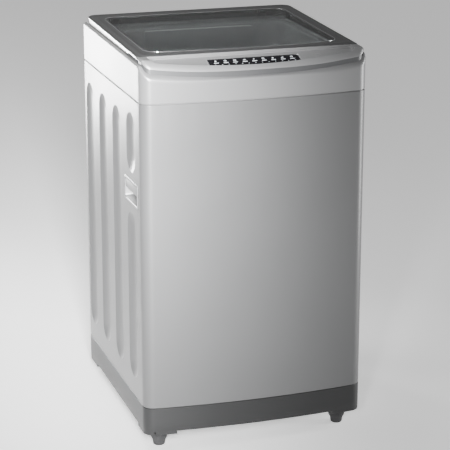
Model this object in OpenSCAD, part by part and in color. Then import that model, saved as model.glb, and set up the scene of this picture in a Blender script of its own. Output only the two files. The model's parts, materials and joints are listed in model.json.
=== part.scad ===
// Top-load washing machine: cabinet, hung tub, belt drive and glazed lid.
// Millimetres. Origin at the middle of the footprint, on the floor; the front faces -Y.

/* [Cabinet] */
// Width of the cabinet
body_w = 550; // [530:1:660]
// Depth from the front's crown to the rear wall
body_d = 574; // [560:1:690]
// How far the front bows out
bow = 18; // [10:1:24]
// Radius of the upright front edges
front_r = 28; // [22:1:36]
// Radius of the upright rear edges
rear_r = 12; // [8:1:16]
// Height at which the sheet cabinet starts
sheet_z = 112; // [104:1:130]
// Height of the seam between cabinet and top cover
seam_z = 849; // [800:1:1020]
// Thickness of the cabinet sheet
sheet_t = 1.0; // [0.8:0.1:1.4]
// Reach of the rear fittings behind the rear wall
rear_proud = 6; // [2:1:12]

/* [Side grooves] */
// Number of grooves on a side
groove_count = 4; // [2:1:4]
// Distance between grooves
groove_pitch = 132; // [120:1:140]
// Distance of the first groove from the front corner plane
groove_first = 96; // [90:1:110]
// Width of a groove
groove_w = 78; // [50:1:90]
// Depth of a groove
groove_depth = 8; // [4:0.5:10]
// Sheet left below and above the grooves
groove_margin = 48; // [44:1:80]

/* [Handles] */
// Width of a handle recess
handle_w = 120; // [100:1:130]
// Height of a handle recess
handle_h = 60; // [50:1:70]
// Depth of a handle recess
handle_depth = 26; // [18:1:28]
// Distance of a handle's top below the seam
handle_drop = 197; // [150:1:260]

/* [Base and feet] */
// Height of the plinth's lower edge
plinth_z = 51; // [46:1:60]
// Height of the corner legs' lower faces
leg_z = 43; // [36:1:45]
// Wall of the plinth
plinth_t = 3.5; // [3:0.5:5]
// Side of a corner leg
leg_w = 84; // [70:1:100]
// Distance of a foot from the side walls
foot_inset = 46; // [40:1:56]
// Radius of a foot's upper rim
foot_r = 20; // [16:1:24]
// Travel of a levelling foot
foot_travel = 12; // [5:1:12]

/* [Tub and drum] */
// Room between the tub and the cabinet walls
tub_gap = 25; // [20:1:40]
// Wall of the tub
tub_t = 3.5; // [3:0.5:5]
// Height of the tub's underside
tub_z = 300; // [290:1:330]
// Room from the tub's rim to the cabinet seam
tub_drop = 57; // [54:1:80]
// Room between the drum and the tub wall
drum_gap = 18; // [14:1:24]
// Height of the drum floor above the tub's underside
drum_lift = 30; // [28:1:40]
// Radius of the wash opening
throat_r = 186; // [170:1:190]
// Width of the balance ring
balance_w = 38; // [30:1:40]
// Radius of the pulsator
pulsator_r = 172; // [150:1:176]

/* [Drive] */
// Radius of the spin tube
spin_r = 14; // [12:1:16]
// Radius of the pulsator shaft
shaft_r = 8; // [6:1:9]
// Radial clearance of a running shaft
run_gap = 0.08; // [0.05:0.01:0.1]
// Distance from the drum axis to the motor axis
motor_reach = 150; // [146:1:160]
// Radius of the motor
motor_r = 62; // [55:1:64]
// Radius of the drive pulley
pulley_r = 54; // [50:1:60]
// Radius of the motor pulley
motor_pulley_r = 28; // [20:1:30]
// Thickness of the belt
belt_t = 5; // [4:0.5:6]

/* [Suspension] */
// Distance of a hanger rod from the cabinet's side planes
rod_inset = 50; // [46:1:54]
// Radius of a hanger rod
rod_r = 3; // [2.5:0.5:4]
// Radius of a damper cup
cup_r = 20; // [18:1:22]

/* [Top] */
// Height of the top cover's side edge above the seam, at the rear
edge_h = 95; // [90:1:110]
// Height of the top cover's front edge above the seam
front_h = 54; // [50:1:60]
// Height of the dark band between the cover and the console
band_h = 14; // [10:1:16]
// Depth of the console
console_d = 66; // [60:1:80]
// Inset of the lid from the side planes
lid_inset = 6; // [5:1:10]
// Width of the lid frame's side bars
lid_bar = 34; // [28:1:36]
// Width of the lid frame's front bar
lid_front_bar = 32; // [28:1:40]
// Thickness of the lid glass
glass_t = 4; // [3:0.5:5]
// Width of the detergent drawer
drawer_w = 270; // [200:1:280]
// Depth of the detergent drawer
drawer_d = 64; // [50:1:66]
// Width of the display window
display_w = 220; // [180:1:240]
// Travel of a button
button_travel = 1.2; // [0.8:0.1:2]

/* [Hidden] */
$fn = 96;

paint = [0.72, 0.73, 0.74];
pale = [0.80, 0.81, 0.82];
charcoal = [0.20, 0.20, 0.21];
dark_silver = [0.45, 0.46, 0.47];
zinc = [0.70, 0.72, 0.74];
tub_grey = [0.86, 0.87, 0.87];

// Plan of the body
front_y = -(body_d + rear_proud) / 2;
rear_y = front_y + body_d;
corner_y = front_y + bow;
tub_y = (corner_y + rear_y) / 2;
bow_r = pow(body_w / 2, 2) / (2 * bow) + bow / 2;
seat = 0.3;

// Feet
foot_x = body_w / 2 - foot_inset;
foot_front_y = corner_y + foot_inset;
foot_back_y = rear_y - foot_inset;
stem_r = 5;
stem_top = leg_z + 28 + foot_travel;
leg_floor = 5;

// Grooves
groove_r = (pow(groove_w / 2, 2) + pow(groove_depth, 2)) / (2 * groove_depth);
groove_low = sheet_z + groove_margin;
groove_high = seam_z - groove_margin;

// Handles
handle_z = seam_z - handle_drop - handle_h / 2;
handle_y = corner_y + groove_first;
flange_w = 8;

// Tub, drum and drive
tub_r = min(body_w, body_d - bow) / 2 - tub_gap;
tub_top = seam_z - tub_drop;
tub_in = tub_r - tub_t;
cover_top = tub_top + 3;
drum_r = tub_in - drum_gap;
drum_t = 1;
drum_z = tub_z + drum_lift;
balance_h = 50;
balance_z = tub_top - 7 - balance_h;
rib_h = 6;
plate_t = 3;
plate_z = tub_z - rib_h - plate_t;
gear_r = 62;
gear_h = 100;
gear_z = plate_z - gear_h;
boss_r = 38;
pulley_h = 16;
pulley_z = gear_z - 22 - pulley_h;
input_r = 7;
motor_y = tub_y - motor_reach;
motor_h = 108;
motor_z = plate_z - 6 - motor_h;
duct_depth = 27;
duct_w = 120;
duct_r = drum_r - drum_t - duct_depth;
filter_w = 84;
filter_h = 140;
filter_z = drum_z + 110;

// Suspension
rod_x = body_w / 2 - rod_inset;
rod_dy = (rear_y - corner_y) / 2 - rod_inset - 6;
bracket_z = seam_z - 28;
bracket_t = 3;
lug_z = tub_z + 120;
lug_t = 10;
cup_h = 92;
cup_t = 3;
piston_z = lug_z - 70;
piston_h = 6;

// Top
edge_z = seam_z + edge_h;
edge_fall = 0.95;
nose_fall = 45;
nose_y = corner_y + 22;
nose_z = edge_z - 9;
lid_fall = 1.5;
lid_top = edge_z + 19;
console_y = front_y + console_d;
console_z = edge_z - 1;
console_slope = 17;
rim_h = 5;
rim_w = 28;
lip_h = 8;
panel_t = 3;
display_down = 35;
display_h = 37;
button_down = 27;
start_x = 157;
power_x = 211;
board_z = 14;
board_t = 1.6;
front_z = seam_z + front_h;
lid_rear_y = rear_y - 12;
lid_front_y = console_y + 1;
lid_w = body_w - 2 * lid_inset;
hinge_y = lid_rear_y - 12;
hinge_z = edge_z + 3;
hinge_x = body_w / 2 - 80;
hinge_r = 4;
well_x = body_w / 2 - 37;
well_front = console_y + 26;
well_rear = rear_y - 44;
ledge_w = 16;
ledge_z = edge_z - 14;
cover_t = 3;
well_z = seam_z + 19;
throat_z = seam_z - 19;
shelf_y = rear_y - 98;
box_h = 34;
box_z = ledge_z - cover_t - seat - box_h;
box_front = shelf_y;
box_t = 2;
box_w = drawer_w + 2 * box_t + 2;
valve_x = box_w / 2 + 44;
valve_z = box_z + 14;
gland_x = -hinge_x + 8;
thread_r = 13.2;

// Lower line of the drain works
pull_y = tub_y + 112;
pull_z = tub_z - 38;
valve_dx = 110;
lever_arm = 40;
spout_z = sheet_z + 34;
hose_in = 17.3;
hose_z0 = spout_z + 20;
hose_z1 = pull_z - 22;
sensor_x = rod_x - 40;
hose_y = rear_y - 50;

// Closed plan with a bowed front; the corners keep their centres when it is inset
module plan_shape(w, y0, y1, arc_r, r0, r1) {
    arc_c = y0 + arc_r;
    cx0 = w / 2 - r0;
    cy0 = arc_c - sqrt(pow(arc_r - r0, 2) - pow(cx0, 2));
    cx1 = w / 2 - r1;
    cy1 = y1 - r1;
    reach = 0.1;
    for (side = [-1, 1]) {
        translate([side * cx0, cy0]) circle(r0);
        translate([side * cx1, cy1]) circle(r1);
    }
    intersection() {
        translate([0, arc_c]) circle(arc_r, $fn = 720);
        polygon([
            [-cx0, cy0 + 1], [-cx0, cy0],
            [-cx0 * (1 + reach), cy0 + (cy0 - arc_c) * reach],
            [cx0 * (1 + reach), cy0 + (cy0 - arc_c) * reach],
            [cx0, cy0], [cx0, cy0 + 1]
        ]);
    }
    polygon([
        [-w / 2, cy0], [w / 2, cy0], [w / 2, cy1], [cx1, cy1],
        [cx1, y1], [-cx1, y1], [-cx1, cy1], [-w / 2, cy1]
    ]);
}

module outline(inset = 0) {
    plan_shape(
        body_w - 2 * inset, front_y + inset, rear_y - inset,
        bow_r - inset, front_r - inset, rear_r - inset
    );
}

module slab(z0, z1, inset = 0) {
    translate([0, 0, z0]) linear_extrude(z1 - z0) outline(inset);
}

module tube(r_out, r_in, h) {
    difference() {
        cylinder(r = r_out, h = h);
        translate([0, 0, -1]) cylinder(r = r_in, h = h + 2);
    }
}

module rounded_box(size, r) {
    linear_extrude(size[2]) rounded_rect(size[0], size[1], r);
}

module rounded_rect(w, d, r) {
    for (sx = [-1, 1], sy = [-1, 1])
        translate([sx * (w / 2 - r), sy * (d / 2 - r)]) circle(r);
    square([w - 2 * r, d], center = true);
    square([w, d - 2 * r], center = true);
}

module at_corners(x, y0, y1) {
    for (sx = [-1, 1], y = [y0, y1]) translate([sx * x, y, 0]) children();
}

// Everything below a plane that falls towards the front, through (y, z)
module below(y, z, fall) {
    translate([0, y, z]) rotate([fall, 0, 0]) translate([-500, -900, -600]) cube([1000, 1800, 600]);
}

// ---- Cabinet ----

// Rod with ball ends that rolls the groove into the sheet
module groove_tool(z0, z1, grow = 0) {
    r = groove_r + grow;
    x = body_w / 2 - groove_depth + groove_r;
    z_in = groove_w / 2;
    translate([x, 0, z0 + z_in]) sphere(r);
    translate([x, 0, z1 - z_in]) sphere(r);
    translate([x, 0, z0 + z_in]) cylinder(r = r, h = z1 - z0 - 2 * z_in);
}

module side_grooves(grow = 0) {
    for (i = [0:groove_count - 1]) translate([0, corner_y + groove_first + i * groove_pitch, 0])
        if (i == 0) {
            groove_tool(groove_low, handle_z - handle_h / 2 - 18, grow);
            groove_tool(handle_z + handle_h / 2 + 18, groove_high + 12, grow);
        } else groove_tool(groove_low, groove_high, grow);
}

module cabinet() color(paint) difference() {
    slab(sheet_z, seam_z);
    difference() {
        slab(sheet_z - 1, seam_z + 1, sheet_t);
        for (side = [0, 1]) mirror([side, 0, 0]) side_grooves(sheet_t);
    }
    for (side = [0, 1]) mirror([side, 0, 0]) {
        side_grooves();
        translate([body_w / 2, handle_y, handle_z])
            cube([80, handle_w - 12 + 2 * seat, handle_h - 12 + 2 * seat], center = true);
    }
    translate([-body_w / 2 + rear_r + 10, rear_y - 20, sheet_z - 1])
        cube([body_w - 2 * rear_r - 20, 40, seam_z - sheet_z + 2]);
}

module rear_panel() color(zinc) difference() {
    translate([-body_w / 2 + rear_r + 1, rear_y - 2 * sheet_t, sheet_z])
        cube([body_w - 2 * rear_r - 2, sheet_t, seam_z - sheet_z]);
    translate([-valve_dx, rear_y - 20, spout_z]) rotate([-90, 0, 0]) cylinder(r = 19, h = 40);
}

module rear_screw(x, z) translate([x, rear_y, z]) rotate([90, 0, 0]) {
    cylinder(r = 1.9, h = 10);
    translate([0, 0, -2]) cylinder(r = 4, h = 2);
}

module rear_screws() color(zinc) {
    for (sx = [-1, 1], i = [0:4])
        rear_screw(sx * (body_w / 2 - rear_r - 5), sheet_z + 30 + i * (seam_z - sheet_z - 60) / 4);
    for (sx = [-1, 1]) rear_screw(sx * (body_w / 2 - rear_r - 5), seam_z + 24);
}

module handle_insert() {
    half_w = handle_w / 2;
    half_h = handle_h / 2;
    wall = 2;
    pocket_w = handle_w - 12;
    pocket_h = handle_h - 12;
    translate([body_w / 2, handle_y, handle_z]) {
        difference() {
            union() {
                rotate([90, 0, 90]) rounded_box([handle_w, handle_h, 1.5], flange_w);
                translate([-handle_depth, -pocket_w / 2, -pocket_h / 2])
                    cube([handle_depth, pocket_w, pocket_h]);
            }
            translate([-handle_depth + wall, -pocket_w / 2 + wall, -pocket_h / 2 + wall])
                cube([handle_depth + 5, pocket_w - 2 * wall, pocket_h - 2 * wall]);
        }
        translate([-3, -pocket_w / 2 + wall, half_h - 6 - 24]) cube([3, pocket_w - 2 * wall, 24 - wall]);
    }
}

module handle_left() color(pale) mirror([1, 0, 0]) handle_insert();

module handle_right() color(pale) handle_insert();

module corner_brackets() color(zinc) difference() {
    intersection() {
        slab(bracket_z, bracket_z + bracket_t, sheet_t);
        for (sx = [-1, 1], sy = [-1, 1]) translate([sx * body_w / 2, tub_y + sy * body_d / 2, 0])
            rotate([0, 0, 45]) translate([-95, -95, bracket_z - 5]) cube([190, 190, 20]);
    }
    translate([0, rear_y, 0]) cube([2 * body_w, 4 * sheet_t, 4 * seam_z], center = true);
    for (sx = [-1, 1], sy = [-1, 1])
        translate([sx * rod_x, tub_y + sy * rod_dy, 0]) cylinder(r = rod_r + 1, h = seam_z);
}

module suspension_rods() color(zinc)
    for (sx = [-1, 1], sy = [-1, 1]) translate([sx * rod_x, tub_y + sy * rod_dy, 0]) {
        translate([0, 0, piston_z - 10]) cylinder(r = rod_r, h = bracket_z + bracket_t + 12 - piston_z);
        translate([0, 0, bracket_z + bracket_t]) cylinder(r = 10, h = 9);
        translate([0, 0, piston_z]) cylinder(r = cup_r - cup_t - 2, h = piston_h);
        translate([0, 0, piston_z - 5]) cylinder(r = 5.5, h = 5);
    }

// ---- Base and feet ----

module base_frame() color(charcoal) difference() {
    union() {
        difference() {
            slab(plinth_z, sheet_z);
            slab(plinth_z - 1, sheet_z - 4, plinth_t);
            slab(sheet_z - 5, sheet_z + 1, 9);
        }
        difference() {
            slab(sheet_z - 4, sheet_z + 10, sheet_t + seat);
            slab(sheet_z - 5, sheet_z + 12, 4);
            translate([0, rear_y, sheet_z]) cube([body_w - 2 * rear_r, 12, 60], center = true);
        }
        intersection() {
            slab(leg_z, plinth_z + 26);
            leg_blocks(0, leg_z, 60);
        }
    }
    intersection() {
        slab(leg_z + leg_floor, sheet_z - 5, plinth_t);
        leg_blocks(plinth_t, leg_z + leg_floor, 60);
    }
    at_corners(foot_x, foot_front_y, foot_back_y) cylinder(r = stem_r + 0.3, h = sheet_z);
}

module leg_blocks(inset, z, h) {
    w = leg_w - inset;
    for (sx = [-1, 1], y = [corner_y, rear_y]) {
        y0 = y > 0 ? y - w : y - bow;
        translate([sx > 0 ? body_w / 2 - w : -body_w / 2, y0, z]) cube([w, w + (y > 0 ? 0 : bow), h]);
    }
}

module foot(r) {
    rotate_extrude() polygon([
        [0, 0], [r * 0.64, 0], [r * 0.7, 2], [r * 0.8, 14], [r, 20], [r, 30],
        [r * 0.7, 33], [r * 0.7, leg_z - 5], [stem_r, leg_z - 5], [stem_r, stem_top], [0, stem_top]
    ]);
}

module front_foot_left() color(charcoal) translate([-foot_x, foot_front_y, 0]) foot(foot_r);

module front_foot_right() color(charcoal) translate([foot_x, foot_front_y, 0]) foot(foot_r);

module rear_feet() color(charcoal)
    for (sx = [-1, 1]) translate([sx * foot_x, foot_back_y, 0]) foot(foot_r);

module foot_nuts() color(zinc) at_corners(foot_x, foot_front_y, foot_back_y)
    translate([0, 0, leg_z + leg_floor]) difference() {
        cylinder(r = 9.5, h = 6, $fn = 6);
        translate([0, 0, -1]) cylinder(r = stem_r + 0.05, h = 8);
    }

// ---- Hung tub ----

module lug_arms() for (sx = [-1, 1], sy = [-1, 1])
    rotate([0, 0, atan2(sy * rod_dy, sx * rod_x)]) {
        reach = norm([rod_x, rod_dy]);
        difference() {
            union() {
                translate([tub_r - 10, -18, 0]) cube([reach - tub_r + 10, 36, lug_t]);
                translate([reach, 0, 0]) cylinder(r = cup_r + 2, h = lug_t);
                translate([tub_r - 10, -3, -60]) cube([reach - tub_r - cup_r + 6, 6, 62]);
            }
            translate([reach, 0, -1]) cylinder(r = rod_r + 3, h = lug_t + 2);
            translate([0, 0, -90]) cylinder(r = tub_r - tub_t / 2, h = 120);
        }
    }

module outer_tub() color(tub_grey) translate([0, tub_y, 0]) difference() {
    union() {
        translate([0, 0, tub_z]) cylinder(r = tub_r, h = tub_top - tub_z);
        translate([0, 0, lug_z]) lug_arms();
        translate([0, 0, tub_z - rib_h]) tube(112, 106, rib_h + 1);
        translate([0, 0, tub_z - rib_h]) tube(68, 60, rib_h + 1);
        translate([-sensor_x, hose_y - tub_y, tub_z + 33]) rotate([90, 0, 0])
            cylinder(r = 8, h = hose_y - tub_y - 120);
        translate([-sensor_x, hose_y - tub_y, tub_z + 22]) cylinder(r = 10.5, h = 23);
        translate([-sensor_x, hose_y - tub_y, tub_z + 25]) cylinder(r = 5, h = 36);
    }
    translate([0, 0, tub_z + tub_t]) cylinder(r = tub_in, h = tub_top);
    translate([0, 0, tub_z - 20]) cylinder(r = boss_r + seat, h = 60);
    translate([-valve_dx, pull_y - tub_y, tub_z - 20]) cylinder(r = 18, h = 60);
}

module tub_cover() color(tub_grey) translate([0, tub_y, 0]) difference() {
    translate([0, 0, tub_top - 28]) cylinder(r = tub_r + 4, h = 28 + cover_top - tub_top);
    translate([0, 0, tub_top - 30]) cylinder(r = tub_r + seat, h = 30);
    translate([0, 0, tub_top - 30]) cylinder(r = tub_r - 48, h = 60);
}

module tub_seal() color(charcoal) translate([0, tub_y, tub_z + tub_t]) difference() {
    cylinder(r = boss_r, h = 8);
    translate([0, 0, -1]) cylinder(r = spin_r + run_gap, h = 12);
}

module damper_cups() color(charcoal) for (sx = [-1, 1], sy = [-1, 1])
    translate([sx * rod_x, tub_y + sy * rod_dy, lug_z - cup_h]) difference() {
        cylinder(r = cup_r, h = cup_h);
        translate([0, 0, -1]) cylinder(r = cup_r - cup_t, h = cup_h + 1 - cup_t);
        cylinder(r = rod_r + 0.6, h = cup_h + 1);
    }

// Coil swept along a helix, one ring of points a step
module coil(r, wire, z0, z1, turns) {
    steps = turns * 16;
    sides = 6;
    points = [for (i = [0:steps], j = [0:sides - 1])
        let (turn = 360 * turns * i / steps, a = 360 * j / sides, reach = r + wire * cos(a))
        [reach * cos(turn), reach * sin(turn), z0 + (z1 - z0) * i / steps + wire * sin(a)]];
    skin = [for (i = [0:steps - 1], j = [0:sides - 1])
        let (k = (j + 1) % sides)
        [i * sides + j, (i + 1) * sides + j, (i + 1) * sides + k, i * sides + k]];
    caps = [[for (j = [0:sides - 1]) j], [for (j = [sides - 1:-1:0]) steps * sides + j]];
    polyhedron(points, concat(skin, caps), convexity = 10);
}

module suspension_springs() color(zinc) for (sx = [-1, 1], sy = [-1, 1])
    translate([sx * rod_x, tub_y + sy * rod_dy, 0])
        coil(cup_r - cup_t - 5, 1.3, piston_z + piston_h + 1.5, lug_z - cup_t - 1.5, 6);

// ---- Drive ----

module mount_plate() color(zinc) difference() {
    translate([0, tub_y - 30, plate_z]) rounded_box([260, 350, plate_t], 20);
    translate([0, tub_y, plate_z - 1]) cylinder(r = boss_r + 1, h = plate_t + 2);
    translate([0, motor_y, plate_z - 1]) cylinder(r = 24, h = plate_t + 2);
    translate([-valve_dx, pull_y, plate_z - 1]) cylinder(r = 28, h = plate_t + 2);
}

module gearbox() color(zinc) translate([0, tub_y, 0]) difference() {
    union() {
        translate([0, 0, gear_z]) cylinder(r = gear_r - 8, h = 20);
        translate([0, 0, gear_z + 14]) cylinder(r = gear_r, h = gear_h - 14);
        translate([0, 0, plate_z - 6]) cylinder(r = gear_r + 18, h = 6);
        translate([0, 0, plate_z - 1]) cylinder(r = boss_r, h = tub_z + tub_t - plate_z + 1);
        rotate([0, 0, 90]) translate([gear_r - 4, -9, pull_z - 16]) cube([22, 18, 10]);
    }
    translate([0, 0, gear_z + 6]) cylinder(r = gear_r - 12, h = gear_h - 24);
    translate([0, 0, gear_z + gear_h - 30]) cylinder(r = 24, h = 80);
    translate([0, 0, gear_z - 1]) cylinder(r = 13, h = 20);
}

module bearings() color(zinc) translate([0, tub_y, 0]) {
    translate([0, 0, plate_z]) tube(24, spin_r + run_gap, 12);
    translate([0, 0, plate_z - 26]) tube(24, spin_r + run_gap, 12);
    translate([0, 0, gear_z]) tube(13, input_r + run_gap, 6);
}

module drive_bolt(reach) {
    translate([reach, 0, plate_z - 11]) cylinder(r = 6, h = 5, $fn = 6);
    translate([reach, 0, plate_z - 7]) cylinder(r = 3.5, h = rib_h + plate_t + 6);
}

module drive_bolts() color(zinc) for (i = [0:3]) {
    translate([0, tub_y, 0]) rotate([0, 0, 45 + 90 * i]) drive_bolt(gear_r + 10);
    translate([0, motor_y, 0]) rotate([0, 0, 45 + 90 * i]) translate([motor_r - 12, 0, 0]) {
        translate([0, 0, plate_z + plate_t]) cylinder(r = 3.5, h = 2, $fn = 6);
        translate([0, 0, plate_z - 20]) cylinder(r = 2.5, h = 20 + plate_t);
    }
}

module motor() color(dark_silver) translate([0, motor_y, 0]) difference() {
    union() {
        translate([0, 0, motor_z]) cylinder(r = motor_r - 6, h = 12);
        translate([0, 0, motor_z + 10]) cylinder(r = motor_r, h = motor_h - 22);
        translate([0, 0, motor_z + motor_h - 14]) cylinder(r = motor_r - 6, h = 14);
        for (i = [0:3]) rotate([0, 0, 45 + 90 * i]) translate([motor_r - 12, 0, motor_z + motor_h - 20])
            cylinder(r = 7, h = 26);
    }
    translate([0, 0, motor_z - 1]) cylinder(r = input_r + run_gap, h = motor_h - 20);
}

module pulley(r, bore) {
    rim = 2;
    difference() {
        cylinder(r = r + rim, h = pulley_h);
        translate([0, 0, rim]) tube(r + rim + 5, r, pulley_h - 2 * rim);
        translate([0, 0, pulley_h - 7]) tube(r - 5, bore + 6, 10);
        translate([0, 0, -3]) tube(r - 5, bore + 6, 10);
    }
}

module drive_pulley() color(zinc) translate([0, tub_y, 0]) {
    translate([0, 0, pulley_z]) pulley(pulley_r, input_r);
    translate([0, 0, pulley_z - 8]) cylinder(r = input_r, h = gear_z + 24 - pulley_z);
    translate([0, 0, pulley_z - 6]) cylinder(r = 11, h = 6, $fn = 6);
}

module motor_pulley() color(zinc) translate([0, motor_y, 0]) {
    translate([0, 0, pulley_z]) pulley(motor_pulley_r, input_r);
    translate([0, 0, pulley_z - 4]) cylinder(r = input_r, h = motor_z + 60 - pulley_z);
}

function arc(r, a0, a1, y) = [
    for (i = [0:24]) let (a = a0 + (a1 - a0) * i / 24) [r * cos(a), y + r * sin(a)]
];

// Loop round both pulleys: two arcs joined by straight runs
module belt_plan(grow) {
    r0 = pulley_r + grow;
    r1 = motor_pulley_r + grow;
    lean = asin((r0 - r1) / motor_reach);
    polygon(concat(arc(r0, -lean, 180 + lean, 0), arc(r1, 180 + lean, 360 - lean, -motor_reach)));
}

module drive_belt() color(charcoal) translate([0, tub_y, pulley_z + 3]) linear_extrude(pulley_h - 6)
    difference() {
        belt_plan(0.3 + belt_t);
        belt_plan(0.3);
    }

// ---- Drain works ----

module drain_valve() color(pale) translate([-valve_dx, pull_y, 0]) difference() {
    union() {
        translate([0, 0, pull_z - 22]) cylinder(r = 24, h = tub_z - pull_z + 22);
        translate([0, 0, hose_z1 - 14]) cylinder(r = 17, h = 20);
        translate([0, 0, pull_z]) rotate([0, 90, 0]) cylinder(r = 11, h = 50);
    }
    translate([0, 0, hose_z1 - 20]) cylinder(r = 14, h = 60);
    translate([0, 0, pull_z - 8]) cylinder(r = 18, h = 80);
    translate([0, 0, pull_z]) rotate([0, 90, 0]) cylinder(r = rod_r + 0.5, h = 60);
}

module drain_hose() color(charcoal) translate([-valve_dx, pull_y, 0]) rotate_extrude() {
    h = hose_z1 - hose_z0;
    translate([hose_in, hose_z0]) square([1.7, h - 0.5]);
    for (i = [0:8]) translate([hose_in + 1, hose_z0 + 3 + i * (h - 9) / 8]) square([2.6, 3]);
}

module drain_spout() color(charcoal) difference() {
    union() {
        translate([-valve_dx, pull_y, spout_z - 20]) cylinder(r = 21, h = 40);
        translate([-valve_dx, pull_y, hose_z0 - 1]) cylinder(r = 17, h = 15);
        translate([-valve_dx, pull_y, spout_z]) rotate([-90, 0, 0]) cylinder(r = 17, h = rear_y + rear_proud - pull_y);
        translate([-valve_dx, rear_y - 2 * sheet_t - 4, spout_z]) rotate([-90, 0, 0]) cylinder(r = 24, h = 4);
    }
    translate([-valve_dx, pull_y, spout_z - 14]) cylinder(r = 13, h = 70);
    translate([-valve_dx, pull_y, spout_z]) rotate([-90, 0, 0]) cylinder(r = 13, h = rear_y);
}

module drain_motor() color(pale) {
    difference() {
        translate([58, pull_y - 24, plate_z - 56]) cube([62, 48, 50]);
        translate([50, pull_y, pull_z]) rotate([0, 90, 0]) cylinder(r = rod_r + 0.5, h = 30);
    }
    for (y = [pull_y - 18, pull_y + 12]) translate([62, y, plate_z - 7]) cube([54, 6, 7]);
    translate([50, pull_y, pull_z]) rotate([0, 90, 0]) tube(9, rod_r + 0.5, 9);
}

module pull_rod() color(zinc) translate([0, pull_y, pull_z]) {
    translate([-valve_dx + 34, 0, 0]) rotate([0, 90, 0]) cylinder(r = rod_r, h = valve_dx - 34 + 53);
    for (x = [-12, 8]) translate([x, -4, -10]) cube([4, 8, 12]);
}

module brake_lever() color(zinc) translate([0, pull_y - lever_arm, pull_z]) {
    translate([0, 0, -6]) difference() {
        union() {
            cylinder(r = 9, h = 3);
            translate([-5, 0, 0]) cube([10, lever_arm, 3]);
            translate([0, lever_arm, 0]) cylinder(r = 5, h = 3);
        }
        translate([0, 0, -1]) cylinder(r = 3 + run_gap, h = 5);
    }
}

// ---- Drum and pulsator ----

module spin_shaft() color(zinc) translate([0, tub_y, plate_z - 40]) {
    tube(spin_r, shaft_r + run_gap, drum_z - plate_z + 40);
    translate([0, 0, -26]) tube(44, shaft_r + run_gap, 26);
}

module drum_hub() color(zinc) translate([0, tub_y, drum_z - 16]) difference() {
    union() {
        cylinder(r = 32, h = 16);
        for (i = [0:2]) rotate([0, 0, 120 * i]) translate([0, -20, 4]) cube([drum_r - 12, 40, 12]);
    }
    translate([0, 0, -1]) cylinder(r = spin_r, h = 20);
}

module drum_shell() color(zinc) translate([0, tub_y, 0]) difference() {
    translate([0, 0, drum_z]) cylinder(r = drum_r, h = balance_z - drum_z);
    translate([0, 0, drum_z + 3]) cylinder(r = drum_r - drum_t, h = balance_z);
    translate([0, 0, drum_z - 1]) cylinder(r = shaft_r + 6, h = 10);
}

module balance_ring() color(tub_grey) translate([0, tub_y, balance_z])
    tube(drum_r + 3, drum_r + 3 - balance_w, balance_h);

module water_ducts() color(tub_grey) translate([0, tub_y, 0]) for (side = [0, 1]) rotate([0, 0, 180 * side])
    difference() {
        intersection() {
            translate([0, 0, drum_z + 12]) tube(drum_r - drum_t - 0.3, duct_r, 340);
            translate([0, -duct_w / 2, drum_z]) cube([drum_r, duct_w, 400]);
        }
        intersection() {
            translate([0, 0, drum_z + 10]) tube(drum_r, duct_r + 2.5, 338);
            translate([0, -duct_w / 2 + 2.5, drum_z]) cube([drum_r, duct_w - 5, 348]);
        }
        translate([100, -filter_w / 2 - 1.5, filter_z - 3.5]) cube([110, filter_w + 3, filter_h + 7]);
    }

module lint_filter() translate([0, tub_y, filter_z]) difference() {
    union() {
        intersection() {
            tube(duct_r + 4, duct_r, filter_h);
            translate([0, -filter_w / 2, 0]) cube([drum_r, filter_w, filter_h]);
        }
        translate([duct_r - 6, -filter_w / 2 + 5, 5]) cube([18, filter_w - 10, filter_h - 12]);
        translate([duct_r, -filter_w / 2 - 1, 0]) rotate([-90, 0, 0]) cylinder(r = 1.2, h = filter_w + 2);
    }
    translate([duct_r - 30, -filter_w / 2 + 7, 7]) cube([40, filter_w - 14, filter_h - 16]);
}

module lint_filter_left() color("lightblue") mirror([1, 0, 0]) lint_filter();

module lint_filter_right() color("lightblue") lint_filter();

module pulsator() color(tub_grey) translate([0, tub_y, drum_z + 8]) difference() {
    union() {
        rotate_extrude() polygon([
            [0, 0], [pulsator_r - 14, 0], [pulsator_r, 8], [pulsator_r, 12],
            [pulsator_r - 8, 12], [pulsator_r - 30, 7], [60, 8], [46, 16], [30, 22], [0, 23]
        ]);
        for (i = [0:5]) rotate([0, 0, 60 * i]) intersection() {
            translate([40, 0, -4]) rotate([0, 90, 0]) cylinder(r = 26, h = pulsator_r - 62);
            translate([0, -40, 1]) cube([pulsator_r, 80, 60]);
        }
    }
    translate([0, 0, -1]) cylinder(r = shaft_r, h = 16);
}

module pulsator_shaft() color(zinc) translate([0, tub_y, 0]) {
    translate([0, 0, plate_z - 60]) cylinder(r = shaft_r, h = drum_z + 20 - plate_z + 60);
}

// ---- Top cover, console and lid ----

module plan_box(x, y0, y1, r) translate([0, (y0 + y1) / 2]) rounded_rect(2 * x, y1 - y0, r);

// Plans of the upper well under the lid and of the wash well below its ledge
module upper_plan(grow = 0) plan_box(well_x + grow, well_front - grow, well_rear + grow, 34 + grow);

module lower_plan(grow = 0)
    plan_box(well_x - ledge_w + grow, well_front + 10 - grow, shelf_y + grow, 30 + grow);

// Everything below the cover's upper edge: level at the sides, dropping to the front
module cover_solid(lift = 0) intersection() {
    below(rear_y, edge_z + lift, edge_fall);
    union() {
        below(nose_y, nose_z + lift, nose_fall);
        translate([-body_w, -body_d, 0]) cube([2 * body_w, 2 * body_d, front_z + lift]);
    }
}

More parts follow.
